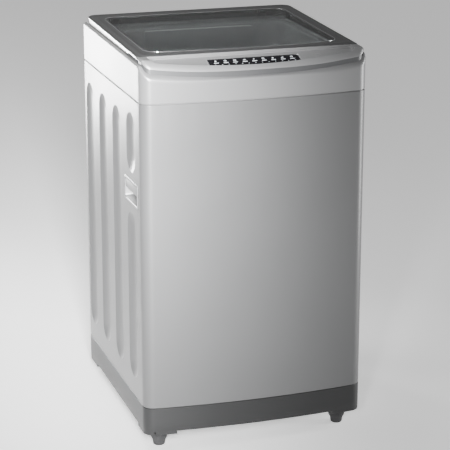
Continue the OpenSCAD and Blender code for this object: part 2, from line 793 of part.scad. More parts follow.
module top_cover() color(pale) {
    difference() {
        union() {
            intersection() {
                difference() {
                    slab(seam_z + 1, edge_z + 20);
                    slab(seam_z, edge_z + 30, cover_t);
                }
                cover_solid();
            }
            difference() {
                slab(seam_z - 12, seam_z + 4, sheet_t + seat);
                slab(seam_z - 15, seam_z + 7, 4.5);
                translate([-body_w / 2 + rear_r, rear_y - 10, seam_z - 15]) cube([body_w - 2 * rear_r, 20, 15]);
            }
            intersection() {
                slab(ledge_z - cover_t, ledge_z, 2);
                translate([-body_w, console_y + 4, 0]) cube([2 * body_w, 2 * body_d, 2 * seam_z]);
            }
            translate([0, 0, ledge_z - 1]) linear_extrude(8) difference() {
                upper_plan(cover_t);
                upper_plan();
            }
        }
        translate([0, 0, well_z]) linear_extrude(200) lower_plan();
        box_room();
        translate([valve_x, rear_y - 30, valve_z]) rotate([-90, 0, 0]) cylinder(r = 20, h = 60);
        translate([gland_x, rear_y - 30, valve_z]) rotate([-90, 0, 0]) cylinder(r = 10, h = 60);
        translate([0, rear_y + 2, edge_z + 10]) cube([body_w - 120, 30, 32], center = true);
    }
    for (sx = [-1, 1], dx = [-11, 11]) translate([sx * hinge_x + dx, hinge_y, hinge_z]) difference() {
        union() {
            rotate([0, 90, 0]) cylinder(r = 6.5, h = 5, center = true);
            translate([-2.5, -6, ledge_z - hinge_z]) cube([5, 12, hinge_z - ledge_z]);
        }
        rotate([0, 90, 0]) cylinder(r = hinge_r, h = 8, center = true);
    }
}

module box_room() translate([-box_w / 2 - seat, box_front - 20, box_z - seat])
    cube([box_w + 2 * seat, 100, box_h + 2 * seat]);

// Walls and floor of the wash well, with the throat above the drum
module wash_funnel() color(pale) difference() {
    union() {
        translate([0, 0, well_z - cover_t]) linear_extrude(ledge_z - well_z) lower_plan(cover_t);
        translate([0, tub_y, throat_z]) cylinder(r = throat_r + cover_t, h = well_z - throat_z);
    }
    translate([0, 0, well_z]) linear_extrude(200) lower_plan();
    translate([0, tub_y, throat_z - 1]) cylinder(r = throat_r, h = well_z - throat_z + 2);
    box_room();
}

module console_plan(inset) {
    intersection() {
        outline(inset);
        translate([-body_w, front_y - 1]) square([2 * body_w, console_y - front_y + 1]);
    }
}

// Plan of the console's sunken face; the rims stand beside it and in front
module recess_plan(grow = 0) intersection() {
    plan_shape(
        body_w - 2 * rim_w + 2 * grow, front_y + 12 - grow, rear_y,
        bow_r - 12 + grow, 20 + grow, rear_r
    );
    translate([-body_w, front_y]) square([2 * body_w, console_y - front_y + 1]);
}

// Room above the sunken face, or above a plane under it
module recess(drop = 0, grow = 0) difference() {
    translate([0, 0, seam_z]) linear_extrude(200) recess_plan(grow);
    below(console_y, console_z - drop, console_slope);
}

// Everything under the console's rims
module under_rims() intersection() {
    cover_solid(band_h);
    below(lid_rear_y, lid_top - rim_h, lid_fall);
}

module console_base() color(charcoal) difference() {
    intersection() {
        translate([0, 0, seam_z + 20]) linear_extrude(120) console_plan(8);
        under_rims();
    }
    intersection() {
        translate([0, 0, seam_z]) linear_extrude(200) console_plan(8 + panel_t);
        translate([-body_w, -body_d, 0]) cube([2 * body_w, body_d + console_y - panel_t, 2 * seam_z]);
    }
    recess(rim_h, panel_t);
    cover_solid(0);
}

// Frame that lies in the console's slope, with its origin at the slope's rear edge
module on_slope(x, down) {
    translate([x, console_y, console_z]) rotate([console_slope, 0, 0]) translate([0, -down, 0]) children();
}

module console_panel() color(pale) difference() {
    intersection() {
        translate([0, 0, seam_z + 20]) linear_extrude(120) console_plan(5);
        cover_solid(band_h + lip_h);
        below(lid_rear_y, lid_top, lid_fall);
    }
    difference() {
        under_rims();
        translate([0, 0, seam_z]) linear_extrude(200) recess_plan(panel_t);
    }
    intersection() {
        translate([0, 0, seam_z]) linear_extrude(200) recess_plan(panel_t + 0.01);
        below(console_y, console_z - panel_t, console_slope);
    }
    recess();
    on_slope(0, display_down) translate([0, 0, -panel_t]) rounded_box([display_w + 0.6, display_h + 0.6, 10], 4);
    for (x = [start_x, power_x]) on_slope(x, button_down) translate([0, 0, -20]) cylinder(r = 8.4, h = 40);
}

module display_window() color(charcoal) on_slope(0, display_down)
    translate([0, 0, -panel_t]) rounded_box([display_w, display_h, panel_t], 4);

module control_board() color("darkgreen") on_slope(0, button_down) {
    translate([-display_w / 2, -16, -board_z]) cube([display_w + 130, 32, board_t]);
    translate([-60, -10, board_t - board_z]) cube([80, 20, 4]);
}

// The stem ends just above the board when the button is pressed home
module console_button(x) {
    stem = board_z - board_t - button_travel - 0.2;
    on_slope(x, button_down) {
        translate([0, 0, -3.6]) cylinder(r = 8, h = 4);
        translate([0, 0, -stem]) cylinder(r = 3, h = stem - 3.4);
    }
}

module start_button() color(pale) console_button(start_x);

module power_button() color(pale) console_button(power_x);

module detergent_box() color(pale) difference() {
    translate([-box_w / 2, box_front, box_z]) cube([box_w, drawer_d + 12, box_h]);
    translate([-box_w / 2 + box_t, box_front - 1, box_z + box_t])
        cube([box_w - 2 * box_t, drawer_d + 10, box_h - 2 * box_t]);
    translate([-drawer_w / 2 + 10, box_front + 8, box_z - 1]) cube([drawer_w - 20, 12, 10]);
}

module detergent_drawer() color(pale) {
    h = box_h - 2 * box_t - 2;
    translate([-drawer_w / 2, box_front, box_z + box_t + 1]) difference() {
        translate([0, -1, 0]) cube([drawer_w, drawer_d + 1, h]);
        translate([1.6, 1.6, 1.6]) cube([drawer_w * 0.62, drawer_d - 3.2, h]);
        translate([drawer_w * 0.62 + 3.2, 1.6, 1.6]) cube([drawer_w * 0.38 - 4.8, drawer_d - 3.2, h]);
    }
    difference() {
        translate([-box_w / 2 - 4, box_front - 8.5, box_z - 2]) cube([box_w + 8, 8.2, box_h + 1]);
        translate([0, box_front - 8, box_z + box_h + 12]) rotate([90, 0, 0]) cylinder(r = 24, h = 20, center = true);
        translate([-44, box_front - 5.5, box_z + 10]) cube([88, 6, 40]);
    }
}

module inlet_valve() color(pale) difference() {
    union() {
        translate([valve_x - 24, rear_y - 62, valve_z - 18]) cube([48, 36, 36]);
        translate([valve_x, rear_y - 30, valve_z]) rotate([-90, 0, 0]) cylinder(r = thread_r, h = 30 + rear_proud);
        translate([valve_x, rear_y - 27, valve_z]) rotate([-90, 0, 0]) cylinder(r = 17, h = 4);
        translate([valve_x - 34, rear_y - 44, valve_z - 8]) rotate([0, 90, 0]) cylinder(r = 5.8, h = 20);
    }
    translate([valve_x, rear_y - 40, valve_z]) rotate([-90, 0, 0]) cylinder(r = 9, h = 60);
}

module inlet_hose() color(charcoal)
    translate([box_w / 2, rear_y - 44, valve_z - 8]) rotate([0, 90, 0])
        tube(8.5, 6, valve_x - 24 - box_w / 2);

module level_sensor() color(pale) translate([-sensor_x, hose_y, seam_z + 24]) {
    cylinder(r = 24, h = 20);
    translate([0, 0, -14]) cylinder(r = 5, h = 15);
}

module pressure_hose() color(charcoal) translate([-sensor_x, hose_y, tub_z + 45.3])
    tube(7, 5.2, seam_z + 24 - 0.3 - tub_z - 45.3);

// Loom along the right wall, and the lid switch that it serves
module cable_loom() color(charcoal) {
    x = body_w / 2 - 16;
    translate([well_x - 30, well_front - 24, edge_z - 36]) cube([40, 14, 12]);
    translate([x, console_y + 10, seam_z + 40]) rotate([-90, 0, 0]) cylinder(r = 4, h = rear_y - console_y - 60);
    for (i = [0:3]) translate([x - 6, console_y + 60 + 100 * i, seam_z + 34]) cube([12, 6, 12]);
}

module cord_gland() color(charcoal) translate([gland_x, rear_y, valve_z]) rotate([-90, 0, 0]) difference() {
    union() {
        translate([0, 0, -20]) cylinder(r = 9.8, h = 20);
        cylinder(r = 14, h = rear_proud);
        translate([0, 0, -7]) cylinder(r = 13, h = 4);
    }
    translate([0, 0, -30]) cylinder(r = 4.5, h = 60);
}

module lid_hinge_pins() color(zinc) for (sx = [-1, 1])
    translate([sx * hinge_x, hinge_y, hinge_z]) rotate([0, 90, 0]) cylinder(r = hinge_r, h = 28, center = true);

module lid_plan(inset = 0) {
    plan_shape(
        lid_w - 2 * inset, lid_front_y + inset, lid_rear_y - inset,
        bow_r * 6 - inset, 8, 26 - min(inset, 20)
    );
}

module window_plan(grow = 0) {
    y0 = lid_front_y + lid_front_bar;
    y1 = lid_rear_y - 46;
    plan_shape(lid_w - 2 * lid_bar + 2 * grow, y0 - grow, y1 + grow, bow_r - grow, 36 + grow, 28 + grow);
}

module lid_frame() color(dark_silver) {
    difference() {
        intersection() {
            translate([0, 0, seam_z]) linear_extrude(200) lid_plan();
            below(lid_rear_y, lid_top, lid_fall);
        }
        below(rear_y, edge_z + 0.6, edge_fall);
        intersection() {
            translate([0, 0, seam_z - 1]) linear_extrude(200) lid_plan(3);
            below(lid_rear_y, lid_top - 7, lid_fall);
        }
        translate([0, 0, seam_z]) linear_extrude(200) window_plan(-4);
        difference() {
            translate([0, 0, seam_z]) linear_extrude(200) window_plan(0.2);
            below(lid_rear_y, lid_top - glass_t, lid_fall);
        }
        for (sx = [-1, 1]) translate([sx * hinge_x, hinge_y, hinge_z])
            cube([34, 24, 22], center = true);
        translate([-lid_w / 2 - 5, lid_front_y + 12, edge_z - 50]) cube([14, 84, 50]);
    }
    for (sx = [-1, 1]) translate([sx * hinge_x, hinge_y, hinge_z]) difference() {
        union() {
            rotate([0, 90, 0]) cylinder(r = 6.5, h = 16, center = true);
            translate([-8, -18, 1]) cube([16, 18, 10.5]);
        }
        rotate([0, 90, 0]) cylinder(r = hinge_r + run_gap, h = 20, center = true);
    }
}

module lid_glass() color([0.7, 0.8, 0.8, 0.35]) intersection() {
    translate([0, 0, seam_z]) linear_extrude(200) window_plan();
    below(lid_rear_y, lid_top, lid_fall);
    difference() {
        translate([-body_w, -body_d, seam_z]) cube([2 * body_w, 2 * body_d, 300]);
        below(lid_rear_y, lid_top - glass_t, lid_fall);
    }
}

module lid_buffers() color(charcoal) intersection() {
    for (sx = [-1, 1], y = [lid_front_y + 14, lid_rear_y - 40])
        translate([sx * (lid_w / 2 - 14), y, ledge_z + seat]) cylinder(r = 5, h = 40);
    below(lid_rear_y, lid_top - 7, lid_fall);
}

cabinet();
rear_panel();
base_frame();
handle_left();
handle_right();
corner_brackets();
suspension_rods();
rear_feet();
foot_nuts();
front_foot_left();
front_foot_right();
top_cover();
console_base();
console_panel();
display_window();
control_board();
start_button();
power_button();
detergent_box();
detergent_drawer();
inlet_valve();
inlet_hose();
level_sensor();
cable_loom();
cord_gland();
drain_spout();
rear_screws();
lid_hinge_pins();
wash_funnel();
lid_frame();
lid_glass();
lid_buffers();
outer_tub();
tub_cover();
tub_seal();
damper_cups();
suspension_springs();
mount_plate();
gearbox();
bearings();
drive_bolts();
motor();
drive_belt();
drain_valve();
drain_motor();
drain_hose();
pressure_hose();
pull_rod();
brake_lever();
motor_pulley();
drive_pulley();
spin_shaft();
drum_hub();
drum_shell();
balance_ring();
water_ducts();
lint_filter_left();
lint_filter_right();
pulsator();
pulsator_shaft();
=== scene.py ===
import json
import math

import bpy
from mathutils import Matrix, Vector

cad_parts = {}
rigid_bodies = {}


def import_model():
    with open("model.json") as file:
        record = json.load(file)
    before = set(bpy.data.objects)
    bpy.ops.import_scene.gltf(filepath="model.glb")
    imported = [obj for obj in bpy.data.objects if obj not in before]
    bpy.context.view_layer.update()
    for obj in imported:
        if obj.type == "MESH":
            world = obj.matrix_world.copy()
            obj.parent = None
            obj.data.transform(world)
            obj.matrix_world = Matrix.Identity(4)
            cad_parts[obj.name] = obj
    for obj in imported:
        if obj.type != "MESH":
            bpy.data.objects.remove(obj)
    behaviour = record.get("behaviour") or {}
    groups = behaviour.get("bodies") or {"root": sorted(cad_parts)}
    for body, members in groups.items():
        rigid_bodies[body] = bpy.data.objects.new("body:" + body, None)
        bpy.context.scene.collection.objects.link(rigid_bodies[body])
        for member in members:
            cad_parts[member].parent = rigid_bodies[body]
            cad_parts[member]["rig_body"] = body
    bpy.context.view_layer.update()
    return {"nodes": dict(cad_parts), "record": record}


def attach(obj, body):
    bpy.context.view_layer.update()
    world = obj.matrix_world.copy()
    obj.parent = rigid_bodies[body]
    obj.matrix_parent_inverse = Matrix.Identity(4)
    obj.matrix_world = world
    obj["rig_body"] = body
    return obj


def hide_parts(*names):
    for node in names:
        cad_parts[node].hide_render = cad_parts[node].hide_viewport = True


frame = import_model()
bpy.ops.object.select_all(action="DESELECT")
nodes = frame["nodes"]
mm = 0.001
frontPoints, cornerPoints = 48, 14
turnIndex = frontPoints + cornerPoints
print("frame loaded:", len(nodes), "CAD nodes")

# Sizes of the machine in millimetres, as in the part's own source
machine = {
    "width": 550, "frontY": -290, "rearY": 284, "bow": 18, "bowRadius": 2109.72,
    "frontRadius": 28, "rearRadius": 12, "tubY": 6,
    "sheetZ": 112, "seamZ": 849,
    "edgeZ": 944, "edgeFall": 0.95, "noseY": -250, "noseZ": 935, "noseFall": 45, "frontZ": 903,
    "bandHeight": 14, "lipHeight": 8, "rimHeight": 5,
    "lidTop": 963, "lidRearY": 272, "lidFall": 1.5,
    "consoleY": -224, "consoleZ": 943, "consoleSlope": 17,
}


# Small tools

def arc(cx, cy, r, start, end, steps):
    return [(cx + r * math.cos(start + (end - start) * i / steps),
             cy + r * math.sin(start + (end - start) * i / steps)) for i in range(steps)]


def line(a, b, steps):
    return [(a[0] + (b[0] - a[0]) * i / steps, a[1] + (b[1] - a[1]) * i / steps) for i in range(steps)]


def bowedPlan(width, frontY, rearY, bowR, frontR, rearR):
    # closed outline, anticlockwise from the left end of the bowed front
    cx, rx = width / 2 - frontR, width / 2 - rearR
    midY = frontY + bowR
    cy = midY - math.sqrt((bowR - frontR) ** 2 - cx ** 2)
    lean = math.asin(cx / (bowR - frontR))
    down = -math.pi / 2
    return (arc(0, midY, bowR, down - lean, down + lean, frontPoints)
            + arc(cx, cy, frontR, down + lean, 0, cornerPoints)
            + line((width / 2, cy), (width / 2, rearY - rearR), 24)
            + arc(rx, rearY - rearR, rearR, 0, math.pi / 2, 8)
            + line((rx, rearY), (rx - 10, rearY), 1)
            + line((rx - 10, rearY), (10 - rx, rearY), 12)
            + line((10 - rx, rearY), (-rx, rearY), 1)
            + arc(-rx, rearY - rearR, rearR, math.pi / 2, math.pi, 8)
            + line((-width / 2, rearY - rearR), (-width / 2, cy), 24)
            + arc(-cx, cy, frontR, math.pi, 3 * math.pi / 2 - lean, cornerPoints))


def bodyPlan(inset=0):
    m = machine
    return bowedPlan(m["width"] - 2 * inset, m["frontY"] + inset, m["rearY"] - inset,
                     m["bowRadius"] - inset, max(m["frontRadius"] - inset, 2),
                     max(m["rearRadius"] - inset, 0.6))


def roundedPlan(x, y0, y1, r, steps=8, runs=10):
    return (line((-x + r, y0), (x - r, y0), runs) + arc(x - r, y0 + r, r, -math.pi / 2, 0, steps)
            + line((x, y0 + r), (x, y1 - r), runs) + arc(x - r, y1 - r, r, 0, math.pi / 2, steps)
            + line((x - r, y1), (-x + r, y1), runs) + arc(-x + r, y1 - r, r, math.pi / 2, math.pi, steps)
            + line((-x, y1 - r), (-x, y0 + r), runs)
            + arc(-x + r, y0 + r, r, math.pi, 1.5 * math.pi, steps))


def ringAt(plan, z):
    return [(x, y, z(x, y) if callable(z) else z) for x, y in plan]


def softMin(a, b, k):
    h = min(max(0.5 + 0.5 * (b - a) / k, 0), 1)
    return b + (a - b) * h - k * h * (1 - h)


def fall(y, y0, z0, degrees):
    return z0 + (y - y0) * math.tan(math.radians(degrees))


def coverEdge(x, y):
    m = machine
    nose = -softMin(-fall(y, m["noseY"], m["noseZ"], m["noseFall"]), -m["frontZ"], 5)
    return softMin(fall(y, m["rearY"], m["edgeZ"], m["edgeFall"]), nose, 5)


def lidPlane(x, y):
    return fall(y, machine["lidRearY"], machine["lidTop"], machine["lidFall"])


def rimUnder(x, y):
    return softMin(coverEdge(x, y) + machine["bandHeight"], lidPlane(x, y) - machine["rimHeight"], 3)


def rimTop(x, y):
    return softMin(coverEdge(x, y) + machine["bandHeight"] + machine["lipHeight"], lidPlane(x, y), 5)


def slopePlane(x, y):
    return fall(y, machine["consoleY"], machine["consoleZ"], machine["consoleSlope"])


def editMode(on):
    bpy.ops.object.mode_set(mode="EDIT" if on else "OBJECT")


def only(piece):
    bpy.ops.object.select_all(action="DESELECT")
    piece.select_set(True)
    bpy.context.view_layer.objects.active = piece


def pick(piece, test, kind="FACE"):
    # selects the faces or points that pass a test, and leaves the piece in edit mode
    only(piece)
    editMode(True)
    bpy.ops.mesh.select_mode(type=kind)
    bpy.ops.mesh.select_all(action="DESELECT")
    editMode(False)
    for part in (piece.data.polygons if kind == "FACE" else piece.data.vertices):
        part.select = test(part)
    editMode(True)


def loft(name, rings, loop=False, caps=(True, True)):
    # a circle of points is extruded once for each ring, then each ring takes its own place
    count = len(rings[0])
    bpy.ops.object.select_all(action="DESELECT")
    bpy.ops.mesh.primitive_circle_add(vertices=count, radius=1)
    piece = bpy.context.object
    piece.name = piece.data.name = name
    editMode(True)
    bpy.ops.mesh.select_mode(type="VERT")
    bpy.ops.mesh.select_all(action="SELECT")
    for _ in range(len(rings) - (0 if loop else 1)):
        bpy.ops.mesh.extrude_region_move()
    editMode(False)
    spots = [c * mm for ring in rings + (rings[:1] if loop else []) for p in ring for c in p]
    piece.data.vertices.foreach_set("co", spots)
    last = len(piece.data.vertices) - count
    for cap, first in ((caps[0], 0), (caps[1], last)):
        if cap and not loop:
            pick(piece, lambda v: first <= v.index < first + count, "VERT")
            bpy.ops.mesh.edge_face_add()
            editMode(False)
    pick(piece, lambda v: True, "VERT")
    if loop:
        bpy.ops.mesh.remove_doubles(threshold=1e-6)
    bpy.ops.mesh.normals_make_consistent(inside=False)
    editMode(False)
    return piece


def bevelled(piece, width, segments=3, angle=30):
    only(piece)
    bevel = piece.modifiers.new("bevel", "BEVEL")
    bevel.width, bevel.segments, bevel.angle_limit = width * mm, segments, math.radians(angle)
    bevel.harden_normals = False
    bpy.ops.object.modifier_apply(modifier="bevel")
    return piece


def cutBy(piece, tool):
    only(piece)
    cut = piece.modifiers.new("cut", "BOOLEAN")
    cut.operation, cut.solver, cut.object = "DIFFERENCE", "EXACT", tool
    bpy.ops.object.modifier_apply(modifier="cut")
    bpy.data.objects.remove(tool)
    return piece


def joined(name, *pieces):
    bpy.ops.object.select_all(action="DESELECT")
    for piece in pieces:
        piece.select_set(True)
    bpy.context.view_layer.objects.active = pieces[0]
    bpy.ops.object.join()
    pieces[0].name = pieces[0].data.name = name
    return pieces[0]


def mirrored(piece, name):
    twin = piece.copy()
    twin.data = piece.data.copy()
    twin.name = twin.data.name = name
    bpy.context.collection.objects.link(twin)
    for v in twin.data.vertices:
        v.co.x = -v.co.x
    pick(twin, lambda f: True)
    bpy.ops.mesh.flip_normals()
    editMode(False)
    return twin


def smooth(piece, angle=32):
    only(piece)
    bpy.ops.object.shade_smooth_by_angle(angle=math.radians(angle))
    return piece


def block(name, low, high, bevel=1, segments=3):
    size = [b - a for a, b in zip(low, high)]
    middle = [(a + b) / 2 * mm for a, b in zip(low, high)]
    bpy.ops.object.select_all(action="DESELECT")
    bpy.ops.mesh.primitive_cube_add(size=1, location=middle)
    piece = bpy.context.object
    piece.name = piece.data.name = name
    piece.scale = [s * mm for s in size]
    bpy.ops.object.transform_apply(location=True, rotation=True, scale=True)
    editMode(True)
    bpy.ops.mesh.select_mode(type="EDGE")
    bpy.ops.mesh.select_all(action="SELECT")
    bpy.ops.mesh.bevel(offset=bevel * mm, segments=segments, affect="EDGES")
    editMode(False)
    return piece


def circleRing(r, z, x=0, y=0, count=96, waves=0, wave=0):
    turns = [2 * math.pi * i / count for i in range(count)]
    reach = [r + wave * math.cos(waves * a) for a in turns]
    return [(x + far * math.cos(a), y + far * math.sin(a), z) for a, far in zip(turns, reach)]


def place(piece, body, look, *stands, slot=None, angle=32):
    smooth(piece, angle)
    piece.data.materials.clear()
    piece.data.materials.append(look)
    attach(piece, body)
    if stands:
        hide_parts(*stands)
    return piece


# Finishes

def finish(name, look):
    # soft clouds in the colour and gloss, a fine grain in the surface
    material = bpy.data.materials.new(name)
    material.use_nodes = True
    tree = material.node_tree
    new, link = tree.nodes.new, tree.links.new
    shader = tree.nodes["Principled BSDF"]
    spot = new("ShaderNodeTexCoord")
    stretch = new("ShaderNodeMapping")
    stretch.inputs["Scale"].default_value = look.get("stretch", (1, 1, 1))
    link(spot.outputs["Object"], stretch.inputs["Vector"])
    clouds = new("ShaderNodeTexNoise")
    clouds.inputs["Scale"].default_value = look.get("cloudScale", 6)
    clouds.inputs["Detail"].default_value = 4
    link(spot.outputs["Object"], clouds.inputs["Vector"])
    grain = new("ShaderNodeTexNoise")
    grain.inputs["Scale"].default_value = look.get("grainScale", 900)
    grain.inputs["Detail"].default_value = 3
    link(stretch.outputs["Vector"], grain.inputs["Vector"])
    tint = new("ShaderNodeMix")
    tint.data_type = "RGBA"
    base, vary = look["colour"], look.get("vary", 0.06)
    tint.inputs["A"].default_value = [c * (1 - vary) for c in base] + [1]
    tint.inputs["B"].default_value = [min(c * (1 + vary), 1) for c in base] + [1]
    blendIn = new("ShaderNodeMath")
    blendIn.operation = "MULTIPLY_ADD"
    link(grain.outputs["Fac"], blendIn.inputs[0])
    blendIn.inputs[1].default_value = look.get("fleck", 0.5)
    link(clouds.outputs["Fac"], blendIn.inputs[2])
    link(blendIn.outputs[0], tint.inputs["Factor"])
    link(tint.outputs["Result"], shader.inputs["Base Color"])
    gloss = new("ShaderNodeMapRange")
    rough = look.get("rough", 0.4)
    gloss.inputs["To Min"].default_value = rough * 0.88
    gloss.inputs["To Max"].default_value = min(rough * 1.12, 1)
    link(clouds.outputs["Fac"], gloss.inputs["Value"])
    link(gloss.outputs["Result"], shader.inputs["Roughness"])
    bump = new("ShaderNodeBump")
    bump.inputs["Strength"].default_value = look.get("bump", 0.08)
    bump.inputs["Distance"].default_value = look.get("depth", 0.0002)
    link(grain.outputs["Fac"], bump.inputs["Height"])
    link(bump.outputs["Normal"], shader.inputs["Normal"])
    shader.inputs["Metallic"].default_value = look.get("metal", 0)
    shader.inputs["Coat Weight"].default_value = look.get("coat", 0)
    shader.inputs["Coat Roughness"].default_value = look.get("coatRough", 0.1)
    shader.inputs["Specular IOR Level"].default_value = look.get("specular", 0.5)
    shader.inputs["Transmission Weight"].default_value = look.get("clear", 0)
    if "glow" in look:
        shader.inputs["Emission Color"].default_value = list(look["glow"]) + [1]
        shader.inputs["Emission Strength"].default_value = look.get("glowStrength", 1)
    return material


wallHoles = {"across": 120, "rowHeight": 0.012, "share": 0.15}


def holedSteel():
    # brushed steel with rows of round wash holes, laid out by angle and height; the holes are not cut, each
    # is a near-black disc of painted shade
    material = finish("drumSteel", {"colour": (0.62, 0.63, 0.64), "metal": 1, "rough": 0.28,
                                    "stretch": (1, 1, 0.04), "grainScale": 700, "bump": 0.06})
    tree = material.node_tree
    new, link = tree.nodes.new, tree.links.new
    shader = tree.nodes["Principled BSDF"]
    tint = shader.inputs["Base Color"].links[0].from_socket
    spot = next(n for n in tree.nodes if n.type == "TEX_COORD")
    split = new("ShaderNodeSeparateXYZ")
    link(spot.outputs["Object"], split.inputs[0])

    def worked(kind, a, b=None):
        node = new("ShaderNodeMath")
        node.operation = kind
        for i, v in enumerate((a, b)):
            if v is None:
                continue
            if isinstance(v, (int, float)):
                node.inputs[i].default_value = v
            else:
                link(v, node.inputs[i])
        return node.outputs[0]

    turn = worked("ARCTAN2", worked("SUBTRACT", split.outputs["Y"], machine["tubY"] * mm),
                  split.outputs["X"])
    across = worked("MULTIPLY", turn, wallHoles["across"] / (2 * math.pi))
    rowsUp = worked("DIVIDE", split.outputs["Z"], wallHoles["rowHeight"])
    half = worked("MULTIPLY", worked("MODULO", worked("FLOOR", rowsUp), 2), 0.5)
    u = worked("SUBTRACT", worked("FRACT", worked("ADD", across, half)), 0.5)
    v = worked("SUBTRACT", worked("FRACT", rowsUp), 0.5)
    far = worked("SQRT", worked("ADD", worked("MULTIPLY", u, u), worked("MULTIPLY", v, v)))
    hole = worked("LESS_THAN", far, wallHoles["share"])
    # painted shade: near-black discs in the base colour where the wash holes are, standing for the dark seen
    # through real holes
    holeShade = new("ShaderNodeMix")
    holeShade.data_type = "RGBA"
    holeShade.inputs["B"].default_value = (0.01, 0.01, 0.01, 1)
    link(hole, holeShade.inputs["Factor"])
    link(tint, holeShade.inputs["A"])
    link(holeShade.outputs["Result"], shader.inputs["Base Color"])
    return material


looks = {
    "silverPaint": {"colour": (0.10, 0.1008, 0.102), "metal": 0.3, "rough": 0.42, "coat": 0.15,
                    "coatRough": 0.2,
                    "vary": 0.03, "fleck": 0.9, "grainScale": 2600, "bump": 0.03, "depth": 0.0001},
    "silverPlastic": {"colour": (0.17, 0.1712, 0.173), "metal": 0.3, "rough": 0.36, "vary": 0.03,
                      "fleck": 0.8, "grainScale": 2200, "bump": 0.03, "depth": 0.0001},
    "paleSilver": {"colour": (0.3, 0.302, 0.305), "metal": 0.3, "rough": 0.3, "vary": 0.02,
                   "grainScale": 2200, "bump": 0.02, "depth": 0.0001},
    "darkSilver": {"colour": (0.09, 0.0907, 0.092), "metal": 0.6, "rough": 0.3, "vary": 0.04,
                   "fleck": 0.8, "grainScale": 2400, "bump": 0.03, "coat": 0.3},
    "brightTrim": {"colour": (0.72, 0.725, 0.73), "metal": 0.9, "rough": 0.2, "vary": 0.02,
                   "grainScale": 1500, "bump": 0.02},
    # painted shade: the console band is its own part, and its dark grey stands for the shade in the recessed
    # gap under the console and the dark ground it reflects
    "bandPaintedShade": {"colour": (0.06, 0.061, 0.063), "metal": 0.3, "rough": 0.42, "grainScale": 1500,
                 "bump": 0.06},
    "charcoal": {"colour": (0.009, 0.0092, 0.0095), "rough": 0.5, "vary": 0.12, "grainScale": 1300,
                 "bump": 0.2},
    "blackGloss": {"colour": (0.006, 0.006, 0.007), "rough": 0.16, "vary": 0.1, "specular": 0.25,
                   "bump": 0.004},
    "iconLight": {"colour": (0.7, 0.72, 0.74), "rough": 0.5, "bump": 0.02, "glow": (0.75, 0.85, 0.95),
                  "glowStrength": 0.5},
    "iconGrey": {"colour": (0.14, 0.14, 0.145), "rough": 0.5, "bump": 0.02},
    "tubGrey": {"colour": (0.62, 0.63, 0.64), "rough": 0.45, "vary": 0.04, "grainScale": 900, "bump": 0.1},
    "whitePlastic": {"colour": (0.74, 0.74, 0.72), "rough": 0.42, "vary": 0.03, "grainScale": 1100,
                     "bump": 0.08},
    "filterBlue": {"colour": (0.22, 0.42, 0.62), "rough": 0.4, "vary": 0.06, "bump": 0.08},
    "zincSteel": {"colour": (0.55, 0.56, 0.57), "metal": 0.95, "rough": 0.38, "vary": 0.12,
                  "cloudScale": 30,
                  "grainScale": 500, "bump": 0.08},
    "rearSteel": {"colour": (0.50, 0.51, 0.52), "metal": 0.9, "rough": 0.42, "vary": 0.14, "cloudScale": 14,
                  "grainScale": 400, "bump": 0.06},
    "castAlloy": {"colour": (0.52, 0.53, 0.54), "metal": 0.9, "rough": 0.55, "vary": 0.1, "grainScale": 700,
                  "bump": 0.4},
    "rubber": {"colour": (0.02, 0.02, 0.021), "rough": 0.7, "vary": 0.2, "grainScale": 900, "bump": 0.3},
    "boardGreen": {"colour": (0.02, 0.14, 0.06), "rough": 0.35, "vary": 0.15, "bump": 0.1},
    "motorPaint": {"colour": (0.12, 0.13, 0.14), "metal": 0.4, "rough": 0.45, "bump": 0.15},
}
finishes = {name: finish(name, look) for name, look in looks.items()}
finishes["drumSteel"] = holedSteel()


def glassLook():
    material = finish("lidGlass", {"colour": (0.93, 0.96, 0.96), "rough": 0.02, "vary": 0.01, "clear": 1,
                                   "bump": 0.002})
    shader = material.node_tree.nodes["Principled BSDF"]
    shader.inputs["IOR"].default_value = 1.45
    return material


finishes["lidGlass"] = glassLook()
print("finishes made:", len(finishes))


# Cabinet

sheet = {"thick": 1, "rolled": 2.2, "rearWrap": 253, "rearReach": 3.2}
grooves = {"y": (-176, -44, 88, 220), "low": 160, "high": 801, "radius": 99.06, "depth": 8, "half": 39,
           "splitLow": 574, "splitHigh": 670, "splitTop": 813, "edge": 3.2,
           "spread": 34, "endTilt": 30, "outside": 330}
handle = {"y": -176, "z": 622, "half": (60, 30), "pocket": (54, 24), "depth": 26, "proud": 1.5, "wall": 2,
          "cutIn": 240, "cutOut": 300}


def grooveTool(y, z0, z1):
    # capsule that rolls one groove into the right side
    half, r, outside = grooves["half"], grooves["radius"], grooves["outside"]
    reach = machine["width"] / 2 - grooves["depth"] + r
    spread = math.radians(grooves["spread"])

    def sliceAt(z, off):
        rr = math.sqrt(r * r - off * off)
        arcPart = [(reach - rr * math.cos(a), y + rr * math.sin(a), z)
                   for a in (spread * (2 * i / 32 - 1) for i in range(33))]
        return arcPart + [(outside, y + r * math.sin(spread), z), (outside, y - r * math.sin(spread), z)]

    tilts = [math.radians(grooves["endTilt"] * i / 12) for i in range(12, -1, -1)]
    rings = [sliceAt(z0 + half - r * math.sin(t), r * math.sin(t)) for t in tilts]
    rings += [sliceAt(z0 + half + (z1 - z0 - 2 * half) * i / 6, 0) for i in range(1, 6)]
    rings += [sliceAt(z1 - half + r * math.sin(t), r * math.sin(t)) for t in reversed(tilts)]
    return loft("grooveTool", rings)


